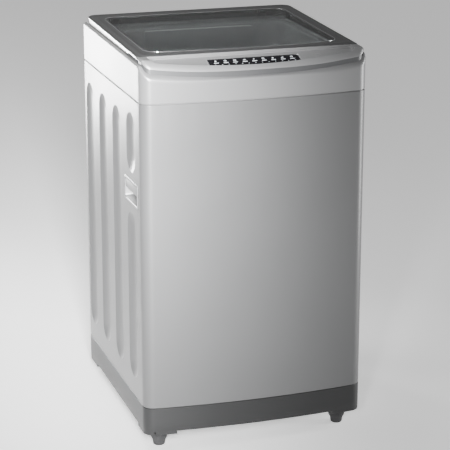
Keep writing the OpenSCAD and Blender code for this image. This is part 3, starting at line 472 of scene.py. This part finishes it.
def makeCabinet():
    low, high, r = machine["sheetZ"], machine["seamZ"], sheet["rolled"]
    profile = [(low, r), (low + 0.3 * r, 0.3 * r), (low + r, 0)]
    profile += [(low + r + (high - low - 2 * r) * i / 8, 0) for i in range(1, 8)]
    profile += [(high - r, 0), (high - 0.3 * r, 0.3 * r), (high, r)]
    shell = loft("cabinetSheet", [ringAt(bodyPlan(inset), z) for z, inset in profile])
    for y in grooves["y"]:
        runs = [(grooves["low"], grooves["splitLow"]), (grooves["splitHigh"], grooves["splitTop"])]
        if y != grooves["y"][0]:
            runs = [(grooves["low"], grooves["high"])]
        for z0, z1 in runs:
            tool = grooveTool(y, z0, z1)
            cutBy(shell, mirrored(tool, "grooveToolLeft"))
            cutBy(shell, tool)
    bevelled(shell, grooves["edge"], 4, 12)
    for side in (-1, 1):
        hy, hz = handle["pocket"]
        xs = sorted((side * handle["cutIn"], side * handle["cutOut"]))
        cutBy(shell, block("handleCut", (xs[0], handle["y"] - hy, handle["z"] - hz),
                           (xs[1], handle["y"] + hy, handle["z"] + hz), 0.1, 1))
    rear, wrap = machine["rearY"] * mm, sheet["rearWrap"] * mm
    pick(shell, lambda f: (abs(f.normal.z) > 0.99 and not (low + 0.05) * mm < f.center.z < (high - 0.05) * mm)
         or (abs(f.center.x) < wrap and f.center.y > rear - sheet["rearReach"] * mm))
    bpy.ops.mesh.delete(type="FACE")
    editMode(False)
    only(shell)
    wall = shell.modifiers.new("wall", "SOLIDIFY")
    wall.thickness, wall.offset = sheet["thick"] * mm, -1
    bpy.ops.object.modifier_apply(modifier="wall")
    return place(shell, "cabinet", finishes["silverPaint"], "cabinet", slot="cabinet_paint", angle=28)


makeCabinet()
print("cabinet made")


def makeHandles():
    h = handle
    (fy, fz), (py, pz) = h["half"], h["pocket"]
    outer = machine["width"] / 2

    def rim(half, r, x):
        return [(x, h["y"] + a, h["z"] + b) for a, b in roundedPlan(half[0], -half[1], half[1], r, 6, 4)]

    back, wall = outer - h["depth"], h["wall"]
    rings = [rim((py - 1, pz - 1), 4, back), rim((py, pz), 5, back + 1), rim((py, pz), 5, outer),
             rim((fy - 0.6, fz - 0.6), 7.4, outer), rim((fy, fz), 8, outer + 0.4),
             rim((fy - 0.3, fz - 0.3), 7.7, outer + 1.1),
             rim((fy - 1, fz - 1), 7, outer + h["proud"]), rim((py - 0.4, pz - 0.4), 5, outer + h["proud"]),
             rim((py - 1.4, pz - 1.4), 4.5, outer + 0.9), rim((py - wall, pz - wall), 4, outer - 0.8),
             rim((py - wall - 1, pz - wall - 1), 4, back + wall + 3),
             rim((py - wall - 3, pz - wall - 3), 3, back + wall)]
    right = loft("handleRight", rings)
    lip = block("lip", (outer - 3, h["y"] - py + 1, h["z"] + 0.5),
                (outer - 0.2, h["y"] + py - 1, h["z"] + pz - 1), 1.2, 3)
    right = joined("handleRight", right, lip)
    left = mirrored(right, "handleLeft")
    place(right, "cabinet", finishes["silverPlastic"], "handle_right", slot="silver_plastic")
    place(left, "cabinet", finishes["silverPlastic"], "handle_left", slot="silver_plastic")


makeHandles()

# Plinth and feet

plinth = {"low": 51, "high": 112, "wall": 3.5, "legLow": 43, "legWidth": 84, "legHigh": 77}
foot = {"x": 229, "frontY": -226, "rearY": 238, "radius": 20, "stem": 5, "knurls": 24,
        "stemFrom": 62, "pitch": 2.4}


def makePlinth():
    low, high, t = plinth["low"], plinth["high"], plinth["wall"]
    rings = [ringAt(bodyPlan(i), z) for z, i in (
        (low, 1.4), (low + 0.5, 0.5), (low + 2, 0), (low + 20, 0), (high - 3, 0), (high - 1.4, 0),
        (high - 0.6, 0.7),
        (high - 0.6, 8), (high - 1, 9), (high - 4, 9), (high - 4, t), (low + 20, t), (low, t))]
    skirt = loft("plinth", rings, loop=True)
    x = machine["width"] / 2 - plinth["legWidth"]
    y0 = machine["frontY"] + machine["bow"] + plinth["legWidth"]
    y1 = machine["rearY"] - plinth["legWidth"]
    legs = []
    for side in (-1, 1):
        for front in (True, False):
            keep = [i for i, p in enumerate(bodyPlan())
                    if p[0] * side > x and (p[1] < y0 if front else p[1] > y1)]
            turn = next((k for k in range(len(keep)) if keep[k] - keep[k - 1] not in (1, 1 - len(keep))), 0)
            keep = keep[turn:] + keep[:turn]
            corner = (side * x, y0 if front else y1)

            def leg(inset, z):
                plan = bodyPlan(inset)
                return [(*plan[i], z) for i in keep] + [(*corner, z)]

            legs.append(loft("leg", [leg(1.8, plinth["legLow"]), leg(0.6, plinth["legLow"] + 0.6),
                                     leg(0.2, plinth["legLow"] + 2), leg(0.2, low + 1), leg(t + 1, low + 1),
                                     leg(t + 1, plinth["legHigh"])]))
    place(joined("plinth", skirt, *legs), "cabinet", finishes["charcoal"], "base_frame",
          slot="charcoal_plastic")


def footShape(name, x, y):
    r, count = foot["radius"], foot["knurls"]
    profile = [(0.55, 0), (0.64, 0.4), (0.7, 2), (0.76, 9), (0.8, 14), (0.93, 18), (1, 20.5), (1, 29.5),
               (0.96, 31),
               (0.72, 33), (0.7, 34), (0.7, 38), (0.26, 38), (0.25, 39), (0.25, 62)]
    rings = []
    for share, z in profile:
        wavy = 0.55 if share > 0.97 else 0
        rings.append(circleRing(min(share * r, r - wavy), z, x, y, 96, count, wavy))
    for i in range(8):
        rings += [circleRing(foot["stem"] - 0.35 * (k % 2), foot["stemFrom"] + (i + k / 2) * foot["pitch"],
                             x, y, 96) for k in range(2)]
    return loft(name, rings)


def makeFeet():
    rear = joined("rearFeet", footShape("rearFootLeft", -foot["x"], foot["rearY"]),
                  footShape("rearFootRight", foot["x"], foot["rearY"]))
    place(rear, "cabinet", finishes["rubber"], "rear_feet", slot="black_rubber")
    for side, tag in ((-1, "left"), (1, "right")):
        piece = footShape("frontFoot" + tag.capitalize(), side * foot["x"], foot["frontY"])
        place(piece, "front_foot_" + tag, finishes["rubber"], "front_foot_" + tag, slot="black_rubber")


makePlinth()
makeFeet()
print("plinth and feet made")

# Top cover, well and hinge lugs

cover = {"low": 850, "skirtLow": 837, "wall": 3, "land": 9}
well = {"x": 238, "front": -198, "rear": 240, "r": 34, "ledge": 930, "collar": 937, "lowerX": 222,
        "lowerFront": -188, "lowerRear": 186, "lowerR": 30, "floor": 868, "throat": 186,
        "throatLow": 830, "flangeFront": -220, "flangeR": 9}
boxRoom = {"low": (-139, 180, 892), "high": (139, 262, 927.2)}
hinge = {"x": 195, "y": 260, "z": 947, "lug": 11, "round": 6.5, "bore": 4.1, "knuckle": 8}


def makeCoverShell():
    low, t = cover["low"], cover["wall"]

    def edge(drop):
        return lambda x, y: coverEdge(x, y) - drop

    rings = [ringAt(bodyPlan(i), z) for i, z in (
        (2.8, low + 0.6), (1.2, low + 0.5), (0.4, low + 0.9), (0.05, low + 1.7), (0, low + 3),
        (0, low + 30))]
    rings += [ringAt(bodyPlan(i), edge(d)) for i, d in (
        (0, 9), (0, 5), (0.25, 3.4), (1, 1.9), (2.1, 0.8), (3.4, 0.2), (5, 0), (cover["land"], 0),
        (cover["land"] + 0.6, 0.5), (cover["land"] + 0.8, 2), (cover["land"] + 0.8, 12), (t, 13))]
    rings += [ringAt(bodyPlan(i), z) for i, z in ((t, low + 20), (t + 1.2, low + 3),
                                                  (t + 1.2, cover["skirtLow"]), (2.8, cover["skirtLow"]))]
    shell = loft("topCover", rings, loop=True)
    lugs = []
    for side in (-1, 1):
        for dx in (-hinge["lug"], hinge["lug"]):
            x, y, z = side * hinge["x"] + dx, hinge["y"], hinge["z"]
            rings = []
            for off, grow in ((-2.5, -0.5), (-2.1, 0), (2.1, 0), (2.5, -0.5)):
                r = hinge["round"] + grow
                top = [(x + off, y - r * math.cos(a), z + r * math.sin(a))
                       for a in (math.pi * i / 16 for i in range(17))]
                base = well["ledge"] - 1
                rings.append([(x + off, y - r, base)] + top + [(x + off, y + r, base)])
            lugs.append(loft("lug", rings))
    shell = joined("topCover", shell, *lugs)
    place(shell, "cabinet", finishes["silverPlastic"], "top_cover", slot="silver_plastic", angle=40)


def makeWell():
    w = well
    outer = machine["width"] / 2 - 3

    def box(x, y0, y1, r, z):
        return ringAt(roundedPlan(x, y0, y1, r), z)

    def upper(grow, z):
        return box(w["x"] + grow, w["front"] - grow, w["rear"] + grow, w["r"] + grow, z)

    def lower(grow, z):
        return box(w["lowerX"] + grow, w["lowerFront"] - grow, w["lowerRear"] + grow, w["lowerR"] + grow, z)

    def throat(r, z):
        tubY = machine["tubY"]
        points = roundedPlan(w["lowerX"], w["lowerFront"], w["lowerRear"], w["lowerR"])
        return [(r * x / math.hypot(x, y - tubY), tubY + r * (y - tubY) / math.hypot(x, y - tubY), z)
                for x, y in points]

    ledge, floor, r = w["ledge"], w["floor"], w["throat"]

    def flange(z):
        return box(outer, w["flangeFront"], machine["rearY"] - 3.5, w["flangeR"], z)

    rings = [flange(ledge - 3), flange(ledge),
             upper(4, ledge), upper(3, ledge + 1), upper(3, w["collar"] - 0.8), upper(2.2, w["collar"]),
             upper(0.8, w["collar"]), upper(0, w["collar"] - 0.8), upper(0, ledge + 1.6),
             upper(-0.5, ledge + 0.5), upper(-1.6, ledge),
             lower(3.2, ledge), lower(1.6, ledge - 0.4), lower(0.5, ledge - 1.5), lower(0, ledge - 3.2),
             lower(-0.5, floor + 14), lower(-1.6, floor + 7), lower(-4.2, floor + 2.6),
             lower(-8, floor + 0.6), lower(-12, floor)]
    rings += [throat(r + grow, z) for grow, z in (
        (6, floor), (3.2, floor - 0.5), (1.2, floor - 2), (0.2, floor - 4.6), (0, floor - 8),
        (0, w["throatLow"] + 1), (0.8, w["throatLow"]), (2.4, w["throatLow"]),
        (3, w["throatLow"] + 1), (3, floor - 8))]
    rings += [lower(-4, floor - 3), lower(2.6, floor + 3), lower(3, ledge - 3)]
    mould = loft("wellMoulding", rings, loop=True)
    room = block("boxRoom", boxRoom["low"], boxRoom["high"], 0.2, 1)
    cutBy(mould, room)
    place(mould, "cabinet", finishes["paleSilver"], "wash_funnel", slot="silver_plastic", angle=38)


makeCoverShell()
makeWell()
print("top cover made")

# Console

console = {"edge": 8, "rim": 5, "recessSide": 28, "recessFront": 12, "recessR": 20, "plate": 3}
display = {"down": 35, "half": (110, 18.5), "r": 4}
signs = {"first": -92, "step": 23, "dotFirst": -96, "dotStep": 16}
keys = {"start": 157, "power": 211, "down": 27, "r": 8}


def consolePlan(inset, rear=0):
    # the body's outline in front of the console's rear line, closed by a straight rear edge
    m = machine
    limit = m["consoleY"] - rear
    plan = bodyPlan(inset)
    half = m["width"] / 2 - inset
    left = plan[-cornerPoints:]
    rightRun = line(plan[turnIndex], (half, limit), 5) + [(half, limit)]
    rearRun = line((half, limit), (-half, limit), 30)[1:] + [(-half, limit)]
    leftRun = line((-half, limit), left[0], 5)[1:]
    return plan[:turnIndex] + rightRun + rearRun + leftRun + left


def recessPlan(grow, rear=0):
    c, m = console, machine
    width = m["width"] - 2 * c["recessSide"] + 2 * grow
    plan = bowedPlan(width, m["frontY"] + c["recessFront"] - grow, m["rearY"], m["bowRadius"] - 12 + grow,
                     c["recessR"] + grow, m["rearRadius"])
    limit, half = m["consoleY"] - rear, width / 2
    left = plan[-cornerPoints:]
    return (plan[:turnIndex] + line(plan[turnIndex], (half, limit), 5) + [(half, limit)]
            + line((half, limit), (-half, limit), 30)[1:] + [(-half, limit)]
            + line((-half, limit), left[0], 5)[1:] + left)


def makeConsole():
    c = console

    def under(drop=0):
        return lambda x, y: rimUnder(x, y) - drop

    def top(drop):
        return lambda x, y: max(rimTop(x, y) - drop, rimUnder(x, y) + 0.4)

    def slope(drop):
        return lambda x, y: slopePlane(x, y) - drop

    # the band under the console takes the painted-shade dark grey
    band = loft("consoleBand", [
        ringAt(consolePlan(c["edge"]), lambda x, y: coverEdge(x, y) - 1.5),
        ringAt(consolePlan(c["edge"]), under(5)),
        ringAt(consolePlan(c["edge"]), under(0.2)), ringAt(consolePlan(c["edge"] + 3, 1), under(0.2)),
        ringAt(consolePlan(c["edge"] + 3, 1), lambda x, y: coverEdge(x, y) - 1.5)], loop=True)
    place(band, "cabinet", finishes["bandPaintedShade"], "console_base", slot="charcoal_plastic")

    def wide(inset, rear, z):
        return ringAt(consolePlan(inset, rear), z)

    rings = [wide(c["edge"] + 3, 3, under(0)), wide(c["rim"] + 0.6, 0.3, under(0)),
             wide(c["rim"], 0.05, under(-0.6))]
    lip = machine["lipHeight"]
    for i in range(9):
        a = math.pi / 2 * i / 8
        rings.append(wide(c["rim"] + lip * (1 - math.cos(a)) * 0.9, 0.05 + 0.5 * (i / 8) ** 3,
                          top((lip - 1.2) * (1 - math.sin(a)))))
    rings += [ringAt(recessPlan(2.4, 0.6), lambda x, y: max(rimTop(x, y) - 0.1, slopePlane(x, y))),
              ringAt(recessPlan(0.9, 0.6), lambda x, y: max(rimTop(x, y) - 0.5, slopePlane(x, y))),
              ringAt(recessPlan(0.1, 0.6),
                     lambda x, y: slopePlane(x, y) + 0.3 * max(rimTop(x, y) - slopePlane(x, y), 0)),
              ringAt(recessPlan(-0.2, 0.6), slope(-0.4)), ringAt(recessPlan(-1.2, 0.6), slope(0)),
              ringAt(recessPlan(-3, 0.6), slope(0.1))]
    rings = [ringAt(recessPlan(1, 3), slope(c["plate"]))] + rings
    panel = loft("consolePanel", rings)
    place(panel, "cabinet", finishes["silverPlastic"], "console_panel", slot="silver_plastic", angle=40)


def onSlope(x, down, rise):
    a = math.radians(machine["consoleSlope"])
    return (x, machine["consoleY"] - down * math.cos(a) - rise * math.sin(a),
            machine["consoleZ"] - down * math.sin(a) + rise * math.cos(a))


def slopeRing(plan, x, down, rise):
    return [onSlope(x + u, down - v, rise) for u, v in plan]


def makeDisplay():
    d = display
    (hx, hy), r = d["half"], d["r"]

    def rim(grow, rise):
        return slopeRing(roundedPlan(hx + grow, -hy - grow, hy + grow, r + grow), 0, d["down"], rise)

    window = loft("displayWindow", [rim(0, -3), rim(0, -0.2), rim(-0.2, 0), rim(-0.5, 0.08)])
    place(window, "cabinet", finishes["blackGloss"], "display_window", slot="black_gloss")
    trim = loft("displayTrim", [rim(0.1, -0.4), rim(0.1, 0.05), rim(0.5, 0.35), rim(1.2, 0.35),
                                rim(1.5, 0.05), rim(1.5, -0.4)], loop=True)
    place(trim, "cabinet", finishes["brightTrim"], slot="silver_plastic")


def glyph(kind, x, down, size, rise=0.1):
    # generic signs: a dot, a ring, a power sign, a clock, a drop, a play sign, bars and a plain bar
    s = size / 2

    def flat(points, thick=0.12):
        return loft("sign", [[onSlope(x + u, down - v, rise + h) for u, v in points] for h in (0, thick)])

    def hoop(outer, inner, a0=0.0, a1=2 * math.pi):
        turns = [a0 + (a1 - a0) * i / 20 for i in range(21)]
        return flat([(outer * math.cos(a), outer * math.sin(a)) for a in turns]
                    + [(inner * math.cos(a), inner * math.sin(a)) for a in reversed(turns)])

    def bar(x0, y0, x1, y1):
        return flat([(x0, y0), (x1, y0), (x1, y1), (x0, y1)])

    if kind == "dot":
        return [flat([(s * 0.5 * math.cos(a), s * 0.5 * math.sin(a))
                      for a in (i * math.pi / 6 for i in range(12))])]
    if kind == "ring":
        return [hoop(s, s * 0.72, 0, 2 * math.pi * 0.999)]
    if kind == "power":
        return [hoop(s, s * 0.74, math.radians(120), math.radians(420)),
                bar(-s * 0.13, s * 0.1, s * 0.13, s * 1.1)]
    if kind == "clock":
        return [hoop(s, s * 0.76, 0, 2 * math.pi * 0.999), bar(-s * 0.1, 0, s * 0.1, s * 0.6),
                bar(0, -s * 0.1, s * 0.5, s * 0.1)]
    if kind == "drop":
        return [flat([(0, s)] + [(s * 0.6 * math.cos(a), -s * 0.35 + s * 0.6 * math.sin(a))
                                 for a in (math.radians(150 + 240 * i / 14) for i in range(15))])]
    if kind == "play":
        return [flat([(-s * 0.9, s * 0.8), (-s * 0.9, -s * 0.8), (0.1 * s, 0)]),
                bar(s * 0.3, -s * 0.8, s * 0.5, s * 0.8),
                bar(s * 0.75, -s * 0.8, s * 0.95, s * 0.8)]
    if kind == "bars":
        return [bar(-s + i * s * 0.7, -s * 0.8, -s + i * s * 0.7 + s * 0.4,
                    -s * 0.8 + s * (0.5 + 0.45 * i)) for i in range(3)]
    return [bar(-s, -s * 0.14, s, s * 0.14)]


def makeSigns():
    lit = []
    for i, kind in enumerate(("drop", "clock", "ring", "bars", "dot", "clock", "drop", "bars", "ring")):
        lit += glyph(kind, signs["first"] + i * signs["step"], display["down"] - 8.5, 6.2)
        lit += glyph("bar", signs["first"] + i * signs["step"], display["down"] + 0.5, 11)
    for i in range(13):
        lit += glyph("dot", signs["dotFirst"] + i * signs["dotStep"], display["down"] + 9, 3.2)
    place(joined("displaySigns", *lit), "cabinet", finishes["iconLight"], slot="silver_plastic")
    for tag, kind in (("start", "play"), ("power", "power")):
        x, r = keys[tag], keys["r"]

        def disc(grow, rise):
            return [onSlope(x + (r + grow) * math.cos(a), keys["down"] + (r + grow) * math.sin(a), rise)
                    for a in (2 * math.pi * i / 64 for i in range(64))]

        key = loft(tag + "Key", [disc(-5.2, -11), disc(-5.2, -3.6), disc(-0.4, -3.6), disc(0, -3.2),
                                 disc(0, -0.5),
                                 disc(-0.25, 0.1), disc(-0.9, 0.4), disc(-3.5, 0.28)])
        place(key, tag + "_button", finishes["silverPlastic"], tag + "_button", slot="silver_plastic")
        sign = joined(tag + "Sign", *glyph(kind, x, keys["down"], 7, 0.26))
        place(sign, tag + "_button", finishes["iconGrey"], slot="charcoal_plastic")


makeConsole()
makeDisplay()
makeSigns()
print("console made")

# Lid

lid = {"width": 538, "front": -223, "rear": 272, "bow": 12658, "frontR": 8, "rearR": 26, "bar": 34,
       "frontBar": 32, "rearBar": 46, "glass": 4, "plate": 7, "skirt": 3}
grip = {"from": -226, "to": -130, "ease": 8, "left": -250}


def lidPlan(inset):
    d = lid
    return bowedPlan(d["width"] - 2 * inset, d["front"] + inset, d["rear"] - inset, d["bow"] - inset,
                     max(d["frontR"] - inset, 1.2), max(d["rearR"] - inset, 4))


def windowPlan(grow):
    d = lid
    return bowedPlan(d["width"] - 2 * d["bar"] + 2 * grow, d["front"] + d["frontBar"] - grow,
                     d["rear"] - d["rearBar"] + grow, machine["bowRadius"] - grow, 36 + grow, 28 + grow)


def between(share, inset=0):
    return [(a[0] + (b[0] - a[0]) * share, a[1] + (b[1] - a[1]) * share)
            for a, b in zip(lidPlan(inset), windowPlan(0))]


def makeLid():
    def plane(drop):
        return lambda x, y: lidPlane(x, y) - drop

    def skirtFoot(rise):
        # the left skirt is cut short where fingers lift the lid
        def z(x, y):
            low = fall(y, machine["rearY"], machine["edgeZ"] + 0.6, machine["edgeFall"]) + rise
            near = min(max((y - grip["from"]) / grip["ease"], 0), 1)
            far = min(max((grip["to"] - y) / grip["ease"], 0), 1)
            ease = near * far if x < grip["left"] else 0
            return low + (lidPlane(x, y) - machine["rimHeight"] - 1.4 - low) * ease
        return z

    glassRoom = lid["glass"]
    rings = [ringAt(lidPlan(lid["skirt"]), skirtFoot(0)), ringAt(lidPlan(2.2), skirtFoot(0)),
             ringAt(lidPlan(2), skirtFoot(0.3)),
             ringAt(lidPlan(2), plane(5.4)), ringAt(lidPlan(0.6), plane(5.2)),
             ringAt(lidPlan(0.1), plane(4.6)), ringAt(lidPlan(0), plane(3.4))]
    rings += [ringAt(lidPlan(3.2 * (1 - math.cos(a))), plane(3.2 * (1 - math.sin(a))))
              for a in (math.pi / 2 * i / 6 for i in range(1, 7))]
    rings += [ringAt(between(s, 3.4), plane(d)) for s, d in (
        (0.10, 0), (0.13, 0.5), (0.16, 0.5), (0.19, 0), (0.55, 0), (0.60, 0.35), (0.86, 0.35), (0.90, 0),
        (0.97, 0))]
    rings += [ringAt(windowPlan(0.25), plane(0.35)), ringAt(windowPlan(0.2), plane(glassRoom)),
              ringAt(windowPlan(-4), plane(glassRoom)),
              ringAt(windowPlan(-4), plane(lid["plate"] - 0.6)),
              ringAt(windowPlan(-3.4), plane(lid["plate"])),
              ringAt(lidPlan(lid["skirt"] + 5), plane(lid["plate"])),
              ringAt(lidPlan(lid["skirt"] + 0.4), plane(lid["plate"] + 0.2)),
              ringAt(lidPlan(lid["skirt"]), plane(lid["plate"] + 1))]
    frameRing = loft("lidFrame", rings, loop=True)
    knuckles = []
    for side in (-1, 1):
        x, y, z = side * hinge["x"], hinge["y"], hinge["z"]
        wide, bore, full = hinge["knuckle"], hinge["bore"], hinge["round"]
        sleeve = [[(x + off, y + r * math.cos(a), z + r * math.sin(a))
                   for a in (2 * math.pi * i / 40 for i in range(40))]
                  for off, r in ((-wide, bore), (-wide, full - 0.5), (0.5 - wide, full),
                                 (wide - 0.5, full), (wide, full - 0.5), (wide, bore))]
        knuckles.append(loft("knuckle", sleeve, loop=True))
        knuckles.append(block("strap", (x - 8, y - 18, z + 1.5), (x + 8, y - 1, z + 11), 1, 2))
    place(joined("lidFrame", frameRing, *knuckles), "lid", finishes["darkSilver"], "lid_frame",
          slot="dark_silver", angle=36)
    pane = loft("lidPane", [ringAt(windowPlan(-0.4), plane(glassRoom)),
                            ringAt(windowPlan(0), plane(glassRoom - 0.4)),
                            ringAt(windowPlan(0), plane(0.5)), ringAt(windowPlan(-0.5), plane(0))])
    place(pane, "lid", finishes["lidGlass"], "lid_glass", slot="lid_glass", angle=30)
    bead = loft("lidBead", [ringAt(windowPlan(1.6), plane(0.05)), ringAt(windowPlan(1.5), plane(-0.3)),
                            ringAt(windowPlan(0.6), plane(-0.35)),
                            ringAt(windowPlan(-0.2), plane(-0.15)), ringAt(windowPlan(-0.3), plane(0.05))],
                loop=True)
    place(bead, "lid", finishes["brightTrim"], slot="dark_silver")


makeLid()
print("lid made")

# The rest of the machine: softened copies of the CAD parts

softened = {
    "zincSteel": ("rear_screws", "corner_brackets", "suspension_rods", "foot_nuts", "lid_hinge_pins",
                  "mount_plate",
                  "bearings", "drive_bolts", "pull_rod", "brake_lever", "spin_shaft", "pulsator_shaft"),
    "rearSteel": ("rear_panel",),
    "castAlloy": ("gearbox", "drum_hub", "motor_pulley", "drive_pulley"),
    "charcoal": ("cable_loom", "cord_gland", "drain_spout", "damper_cups"),
    "rubber": ("inlet_hose", "lid_buffers", "tub_seal", "drive_belt"),
    "boardGreen": ("control_board",),
    "whitePlastic": ("detergent_box", "inlet_valve", "level_sensor", "drain_valve", "drain_motor"),
    "paleSilver": ("detergent_drawer",),
    "tubGrey": ("outer_tub", "tub_cover", "balance_ring", "water_ducts", "pulsator"),
    "filterBlue": ("lint_filter_left", "lint_filter_right"),
    "motorPaint": ("motor",),
    "drumSteel": ("drum_shell",),
}
edgeWidths = {"outer_tub": 1.2, "pulsator": 1.5, "detergent_drawer": 1, "balance_ring": 2.5,
              "tub_cover": 1.2, "motor": 1.2,
              "gearbox": 1.2, "rear_panel": 0.2, "drum_shell": 0.3, "control_board": 0.2, "bearings": 0.5,
              "tub_seal": 0.4}


def softenedCopy(node, look):
    source = nodes[node]
    name = "".join(word.capitalize() if i else word for i, word in enumerate(node.split("_"))) + "Soft"
    piece = bpy.data.objects.new(name, source.data.copy())
    piece.data.name = name
    bpy.context.collection.objects.link(piece)
    pick(piece, lambda v: True, "VERT")
    bpy.ops.mesh.remove_doubles(threshold=2e-6)
    bpy.ops.mesh.dissolve_limited(angle_limit=math.radians(0.6))
    editMode(False)
    only(piece)
    bevel = piece.modifiers.new("bevel", "BEVEL")
    bevel.width, bevel.segments, bevel.angle_limit = edgeWidths.get(node, 0.5) * mm, 2, math.radians(42)
    bevel.use_clamp_overlap = True
    bpy.ops.object.modifier_apply(modifier="bevel")
    body = source["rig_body"]
    slotName = next(p["material_slot"] for p in frame["record"]["subparts"] if p["node"] == node)
    return place(piece, body, finishes[look], node, slot=slotName, angle=34)


for look, group in softened.items():
    for node in group:
        softenedCopy(node, look)
for node, look in (("suspension_springs", "zincSteel"), ("drain_hose", "rubber"),
                   ("pressure_hose", "rubber")):
    nodes[node].data.materials.clear()
    nodes[node].data.materials.append(finishes[look])
print("inner parts softened")

# Studio

studio = {"floorSide": 60, "floorColour": (0.92, 0.92, 0.92), "floorGlow": 0.5, "world": 0.1}
lamps = [
    {"name": "key", "at": (-0.7, -1.75, 1.15), "aim": (-0.40, -0.28, 0.72), "size": (0.3, 1.0), "power": 32,
     "spread": 44},
    {"name": "side", "at": (-1.0, 2.5, 0.52), "aim": (-0.275, 0, 0.52), "size": (0.35, 0.7), "power": 11,
     "spread": 60},
    {"name": "top", "at": (-1.0, 0.5, 2.7), "aim": (0, 0, 0.95), "size": (1.2, 1.2), "power": 42,
     "spread": 170},
    {"name": "rim", "at": (1.5, -0.45, 0.75), "aim": (0.27, -0.2, 0.6), "size": (0.25, 1.3), "power": 8,
     "spread": 90},
]
view = {"target": (0, 0.006, 0.4825), "azimuth": -17.71, "elevation": 16.76, "distance": 4.5,
        "right": 0.01204, "up": -0.01761, "lens": 1803.04 / 450 * 36}


def makeStudio():
    bpy.ops.object.select_all(action="DESELECT")
    bpy.ops.mesh.primitive_plane_add(size=studio["floorSide"], location=(0, 0, 0))
    floor = bpy.context.object
    floor.name = "studioFloor"
    white = {"colour": studio["floorColour"], "rough": 0.6, "vary": 0.004, "bump": 0.01,
             "glow": (1, 1, 1), "glowStrength": studio["floorGlow"]}
    floor.data.materials.append(finish("floorWhite", white))
    world = bpy.data.worlds.new("studioLight")
    world.use_nodes = True
    world.node_tree.nodes["Background"].inputs["Color"].default_value = (1, 1, 1, 1)
    world.node_tree.nodes["Background"].inputs["Strength"].default_value = studio["world"]
    bpy.context.scene.world = world
    for lamp in lamps:
        data = bpy.data.lights.new(lamp["name"], "AREA")
        data.shape, (data.size, data.size_y), data.energy = "RECTANGLE", lamp["size"], lamp["power"]
        data.spread = math.radians(lamp["spread"])
        light = bpy.data.objects.new(lamp["name"], data)
        light.location = lamp["at"]
        aim = Vector(lamp["aim"]) - Vector(lamp["at"])
        light.rotation_euler = aim.to_track_quat("-Z", "Y").to_euler()
        bpy.context.collection.objects.link(light)


def makeCamera():
    a, e = math.radians(view["azimuth"]), math.radians(view["elevation"])
    back = Vector((math.sin(a) * math.cos(e), -math.cos(a) * math.cos(e), math.sin(e)))
    right = Vector((math.cos(a), math.sin(a), 0))
    up = back.cross(right)
    camera = bpy.data.objects.new("camera", bpy.data.cameras.new("camera"))
    camera.location = (Vector(view["target"]) + back * view["distance"]
                       + right * view["right"] + up * view["up"])
    camera.rotation_euler = back.to_track_quat("Z", "Y").to_euler()
    camera.data.lens, camera.data.sensor_width = view["lens"], 36
    camera.data.clip_end = 100
    bpy.context.collection.objects.link(camera)
    bpy.context.scene.camera = camera


makeStudio()
makeCamera()
print("studio and camera set")
